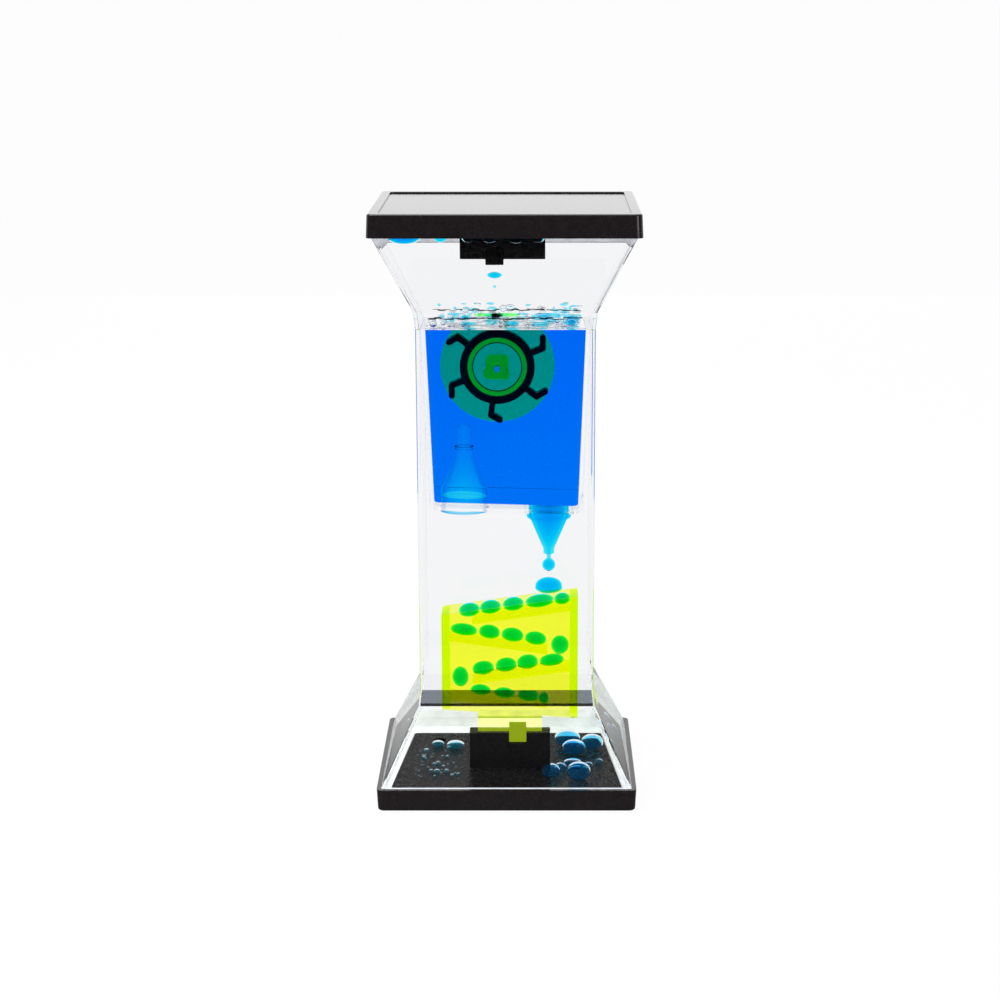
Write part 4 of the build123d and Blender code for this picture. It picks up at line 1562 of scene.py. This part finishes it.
    def foam(self) -> None:
        """Scatters clear bubbles and dyed droplets over the water and on the wall behind it, and lays beads
        of painted shade along the lines where the water meets the walls.
        """
        draw = random.Random(self.seed)
        margin, bubble_count, bead_count, sides = 2.2 * MM, 118, 54, 14
        half = [side / 2 - margin for side in self.cup.mouth]
        bubbles, droplets = [], []
        for index in range(bubble_count):
            dyed = index % 2 == 1
            radius = (0.3 + 0.9 * draw.random() ** 2) * MM
            stretch = draw.uniform(1.0, 2.2) if dyed else 1.0
            height = 2 * radius * draw.uniform(0.6, 0.95)
            x, y = (draw.uniform(-edge, edge) for edge in half)
            floats = index % 3 == 0 and y > 0.0
            rise = draw.uniform(0.0, 3.2) * MM if floats else 0.1 * MM
            place = (x, y, self.surface(x, y) + height / 2 + rise)
            bubble = Bench.drop("bubble", place, (2 * radius * stretch, 2 * radius, height), sides)
            (droplets if dyed else bubbles).append(bubble)
        for index in range(bead_count):
            x, z = draw.uniform(-half[0], half[0]), draw.uniform(124.7, 127.0) * MM
            y = self.back_wall[0] + self.back_slope * (z - self.back_wall[1])
            size = (draw.uniform(0.7, 2.4) * MM, 1.5 * MM, draw.uniform(0.35, 0.9) * MM)
            bubble = Bench.drop("bubble", (x, y, z), size, sides)
            (bubbles if index % 3 == 0 else droplets).append(bubble)
        looks = self.finishes
        self.finish(Bench.gather(bubbles, "surface_foam"), Slot.OIL, looks.foam, "surface_beads")
        self.finish(Bench.gather(droplets, "surface_droplets"), Slot.WATER, looks.mist, "surface_beads")
        # Dark beads along the walls put painted shade on the meniscus.
        count, sides, wobble = 26, 10, 0.22
        links = []
        for y, z in self.contact_lines:
            for step in range(count):
                x = (2 * step + 1 - count) * half[0] / count
                place = (x, y, z + draw.uniform(-wobble, wobble) * MM)
                size = (2.4 * MM, 0.5 * MM, draw.uniform(0.2, 0.5) * MM)
                links.append(Bench.drop("link", place, size, sides))
        edge = Bench.gather(links, "surface_contact_lines")
        self.finish(edge, Slot.WATER, looks.meniscus_shade, "surface_beads")

    def slide_drops(self) -> None:
        """Lays the drops on the ramps and lets two of them fall off a ramp's end."""
        drops = []
        for row, places in enumerate(self.rows):
            lean = math.atan(self.slide.ramp_slope(row))
            for x, length, height in places:
                size = (length * self.drop[0], self.drop[1], height * self.drop[2])
                place = (x * MM, 0.0, self.slide.ramp_top(row, x * MM) + size[2] / 2)
                drops.append(Bench.drop("drop", place, size, sag=self.sag, turn=lean))
        for row, x, rise, length, height in self.falling:
            size = (length * self.drop[0], self.drop[1], height * self.drop[2])
            place = (x * MM, 0.0, self.slide.ramp_top(row, x * MM) + rise * MM)
            drops.append(Bench.drop("drop", place, size))
        beads = Bench.gather(drops, "drops_on_the_slide")
        self.finish(beads, Slot.WATER, self.finishes.slide_drop, "slide_drops")

    def nozzle_drops(self) -> None:
        """Models the drop that hangs from the slide funnel and the one that has just landed."""
        tip = self.cup.nozzle_bore()[-1][1]
        radius, neck, waist = 1.72 * MM, 1.2 * MM, 0.5 * MM
        steps, turn, sides = 12, 13.5, 40
        middle = tip - neck - radius
        profile = [(0.0, middle - radius)]
        for step in range(1, steps):
            angle = math.radians(step * turn - 90.0)
            profile.append((radius * math.cos(angle), middle + radius * math.sin(angle)))
        profile += [(0.62 * MM, middle + 1.02 * radius), (0.6 * MM, tip - waist), (0.76 * MM, tip)]
        hanging = Bench.lathe("hanging_ball", profile, (self.cup.reach, 0.0, 0.0), sides)
        self.finish(hanging, Slot.WATER, self.finishes.drop, "hanging_drop")
        size, rise, sag = (6.9 * MM, 4.8 * MM, 4.6 * MM), 1.5 * MM, 0.1
        place = (self.cup.reach, 0.0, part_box("landing_drop")[0].z + rise)
        landed = Bench.drop("landing_dome", place, size, sides, sag)
        self.finish(landed, Slot.WATER, self.finishes.drop, "landing_drop")

    def base_pool(self) -> None:
        """Models the drops on the base pad and the fine beads beside them."""
        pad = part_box("floor_drops")[0].z
        bead_count, drop_sides, lens_sides = 46, 36, 28
        drops, beads = [], []
        for x, y, radius, flat in self.base_drops:
            wide, height = 2 * radius * MM, 2 * flat * radius * MM
            place = (x * MM, y * MM, pad + height / 2)
            drops.append(Bench.drop("drop", place, (wide, wide, height), drop_sides, self.sag))
        pool = Bench.gather(drops, "drops_on_the_base")
        self.finish(pool, Slot.WATER, self.finishes.pool, "floor_drops")
        draw = random.Random(self.seed + 1)
        for x, y, *size in self.lenses:
            length, depth, height = (side * MM for side in size)
            place = (x * MM, y * MM, pad + height / 2)
            beads.append(Bench.drop("lens", place, (length, depth, height), lens_sides))
        for index in range(bead_count):
            radius = draw.uniform(0.16, 0.34) * MM if index % 4 else draw.uniform(0.45, 0.8) * MM
            place = (draw.uniform(-23.5, -12.0) * MM, draw.uniform(-15.0, 6.0) * MM, pad)
            beads.append(Bench.bead("bead", place, radius, 1.6 * radius))
        fine = Bench.gather(beads, "beads_on_the_base")
        self.finish(fine, Slot.WATER, self.finishes.bead, "floor_beads")

    def hanging_drops(self) -> None:
        """Models the drops under the top cap and the one that hangs from its block in a clear sleeve."""
        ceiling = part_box("ceiling_drops")[1].z
        drops = []
        for x, y, radius, height in self.top_drops:
            size = (2 * radius * MM, 2 * radius * MM, height * MM)
            place = (x * MM, y * MM, ceiling - size[2] / 2)
            drops.append(Bench.drop("drop", place, size, sag=-self.sag))
        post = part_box("top_socket")
        x, y, z = -2.7 * MM, post[0].y + 3.5 * MM, post[0].z
        drops.append(Bench.drop("drop", (x, y, z - 2.6 * MM), (3.6 * MM, 3.2 * MM, 1.7 * MM), sag=-0.1))
        drops.append(Bench.drop("drop", (x, y, z - 5.6 * MM), (0.9 * MM, 0.9 * MM, 0.9 * MM), 16))
        sleeve = Bench.drop("pendant_sleeve", (x, y, z - 1.75 * MM), (4.5 * MM, 4.0 * MM, 3.5 * MM))
        self.finish(sleeve, Slot.OIL, self.finishes.oil, "ceiling_drops")
        above = Bench.gather(drops, "drops_under_the_top")
        self.finish(above, Slot.WATER, self.finishes.drop, "ceiling_drops")


@dataclass(frozen=True)
class Lamp:
    """A soft square lamp.

    Attributes:
        name: Name of the lamp.
        at: Place of the lamp.
        target: Point that it faces.
        size: Side of the lamp.
        power: Power in watts.
    """

    name: str
    at: Point
    target: Point
    size: float
    power: float

    def hang(self) -> None:
        """Hangs the lamp, where only surfaces see it."""
        data = bpy.data.lights.new(self.name, "AREA")
        data.size = self.size
        data.energy = self.power
        lamp = bpy.data.objects.new(self.name, data)
        lamp.location = self.at
        lamp.visible_camera = False
        lamp.visible_transmission = False
        lamp.rotation_euler = (Vector(self.target) - Vector(self.at)).to_track_quat("-Z", "Y").to_euler()
        bpy.context.scene.collection.objects.link(lamp)


@dataclass
class Studio:
    """White floor, soft lamps and the camera of the photograph.

    Attributes:
        camera_at: Place of the camera.
        tilt: How far the camera looks down, in degrees.
        lens: Focal length in millimetres.
        sensor: Width of the sensor in millimetres.
        shift: Sideways shift of the picture.
        lamps: The lamps.
        bounces: Most bounces of light through clear pieces.
        mirror_bounces: Most bounces of mirrored light.
        floor: Side of the floor.
        floor_colour: Colour of the floor.
        floor_white: Share of pure white where the floor is seen.
        floor_mirror: y before and behind the part, and the strength of the mirrored floor there.
        world: Strength of the world's light.
        world_mirror: y before and behind the part, and the strength of the mirrored world there.
    """

    camera_at: Point = (7.07 * MM, -514.99 * MM, 205.75 * MM)
    tilt: float = 14.376
    lens: float = 75.474
    sensor: float = 36.0
    shift: float = -0.0348
    lamps: tuple[Lamp, ...] = (Lamp("top_softbox", (-0.25, -0.1, 0.75), (0.0, 0.0, 0.08), 0.6, 7.0),
                               Lamp("front_fill", (0.45, -0.75, 0.35), (0.0, 0.0, 0.08), 0.5, 2.5),
                               Lamp("back_softbox", (0.0, 0.75, 0.3), (0.0, 0.0, 0.12), 0.6, 0.75))
    bounces: int = 32
    mirror_bounces: int = 8
    floor: float = 30.0
    floor_colour: Colour = (0.86, 0.86, 0.86)
    floor_white: float = 0.965
    floor_mirror: tuple[Pair, Pair] = ((-0.05, 0.06), (0.0, 0.72))
    world: float = 0.5
    world_mirror: tuple[Pair, Pair] = ((-0.25, 0.3), (0.03, 0.72))

    def build(self) -> None:
        """Sets up the floor, the light and the camera."""
        self.lay_floor()
        self.light_world()
        for lamp in self.lamps:
            lamp.hang()
        self.aim_camera()
        scene = bpy.context.scene
        scene.view_settings.view_transform = "Standard"
        scene.cycles.max_bounces = self.bounces
        scene.cycles.transmission_bounces = self.bounces
        scene.cycles.glossy_bounces = self.mirror_bounces
        scene.cycles.transparent_max_bounces = self.bounces

    @staticmethod
    def seen_through(nodes: NodeTree) -> Socket:
        """Adds nodes that tell camera and refracted rays from the rest.

        Args:
            nodes: Node tree to add to.

        Returns:
            A socket that is 1 for those rays.
        """
        path = nodes.add("LightPath")
        most = nodes.add("Math")
        most.operation = "MAXIMUM"
        nodes.join(path.outputs["Is Camera Ray"], most, 0)
        nodes.join(path.outputs["Is Transmission Ray"], most, 1)
        return most.outputs["Value"]

    @staticmethod
    def mirrored(nodes: NodeTree, kind: str, place: str, ends: tuple[Pair, Pair], plain: Socket) -> Socket:
        """Adds a light that only mirrors show, bright behind the part and dark before it.

        Args:
            nodes: Node tree to add to.
            kind: Kind of the light's node.
            place: Coordinates that tell before from behind.
            ends: y before and behind the part, and the strength there.
            plain: Shader for every other ray.

        Returns:
            The socket with both.
        """
        coordinates = nodes.add("TexCoord")
        split = nodes.add("SeparateXYZ")
        nodes.join(coordinates.outputs[place], split, "Vector")
        light = nodes.add(kind, Color=opaque(WHITE))
        nodes.join(nodes.spread(split.outputs["Y"], *ends), light, "Strength")
        path = nodes.add("LightPath")
        return nodes.mix(path.outputs["Is Glossy Ray"], plain, light.outputs[0])

    def lay_floor(self) -> None:
        """Lays the white floor."""
        Bench.deselect()
        bpy.ops.mesh.primitive_plane_add(size=self.floor)
        floor = Bench.named("studio_floor")
        nodes = NodeTree.material("white_floor")
        shade = nodes.add("BsdfDiffuse", Color=opaque(self.floor_colour))
        plain = self.mirrored(nodes, "Emission", "Object", self.floor_mirror, shade.outputs["BSDF"])
        white = nodes.add("Emission", Color=opaque(WHITE), Strength=1.0)
        share = nodes.add("Math")
        share.operation = "MULTIPLY"
        share.inputs[1].default_value = self.floor_white
        nodes.join(self.seen_through(nodes), share, 0)
        mix = nodes.mix(share.outputs["Value"], plain, white.outputs["Emission"])
        floor.data.materials.append(nodes.surface(mix))

    def light_world(self) -> None:
        """Makes the world white where it is seen, mirrored white behind the part and dark before it."""
        world = bpy.data.worlds.new("studio")
        bpy.context.scene.world = world
        nodes = NodeTree(world, "OutputWorld")
        light = nodes.add("Background", Strength=self.world)
        ambient = light.outputs["Background"]
        plain = self.mirrored(nodes, "Background", "Generated", self.world_mirror, ambient)
        seen = nodes.add("Background", Color=opaque(WHITE))
        nodes.surface(nodes.mix(self.seen_through(nodes), plain, seen.outputs["Background"]))

    def aim_camera(self) -> None:
        """Places the camera."""
        data = bpy.data.cameras.new("camera")
        data.lens = self.lens
        data.sensor_width = self.sensor
        data.shift_x = self.shift
        camera = bpy.data.objects.new("camera", data)
        camera.location = self.camera_at
        camera.rotation_euler = (math.radians(90.0 - self.tilt), 0.0, 0.0)
        bpy.context.scene.collection.objects.link(camera)
        bpy.context.scene.camera = camera


def main() -> None:
    """Builds every assembly in order and reports its pieces."""
    logging.basicConfig(level=logging.INFO, format="%(name)s: %(message)s")
    finishes = Finishes()
    Studio().build()
    cup = Cup(finishes)
    slide = Slide(finishes)
    liquids = Liquids(finishes, cup=cup, slide=slide)
    for assembly in (EndCaps(finishes), ClearCase(finishes), cup, WaterWheel(finishes), slide, liquids):
        assembly.build()
        log.info("%s: %d pieces", type(assembly).__name__, len(assembly.pieces))


if __name__ == "__main__":
    main()
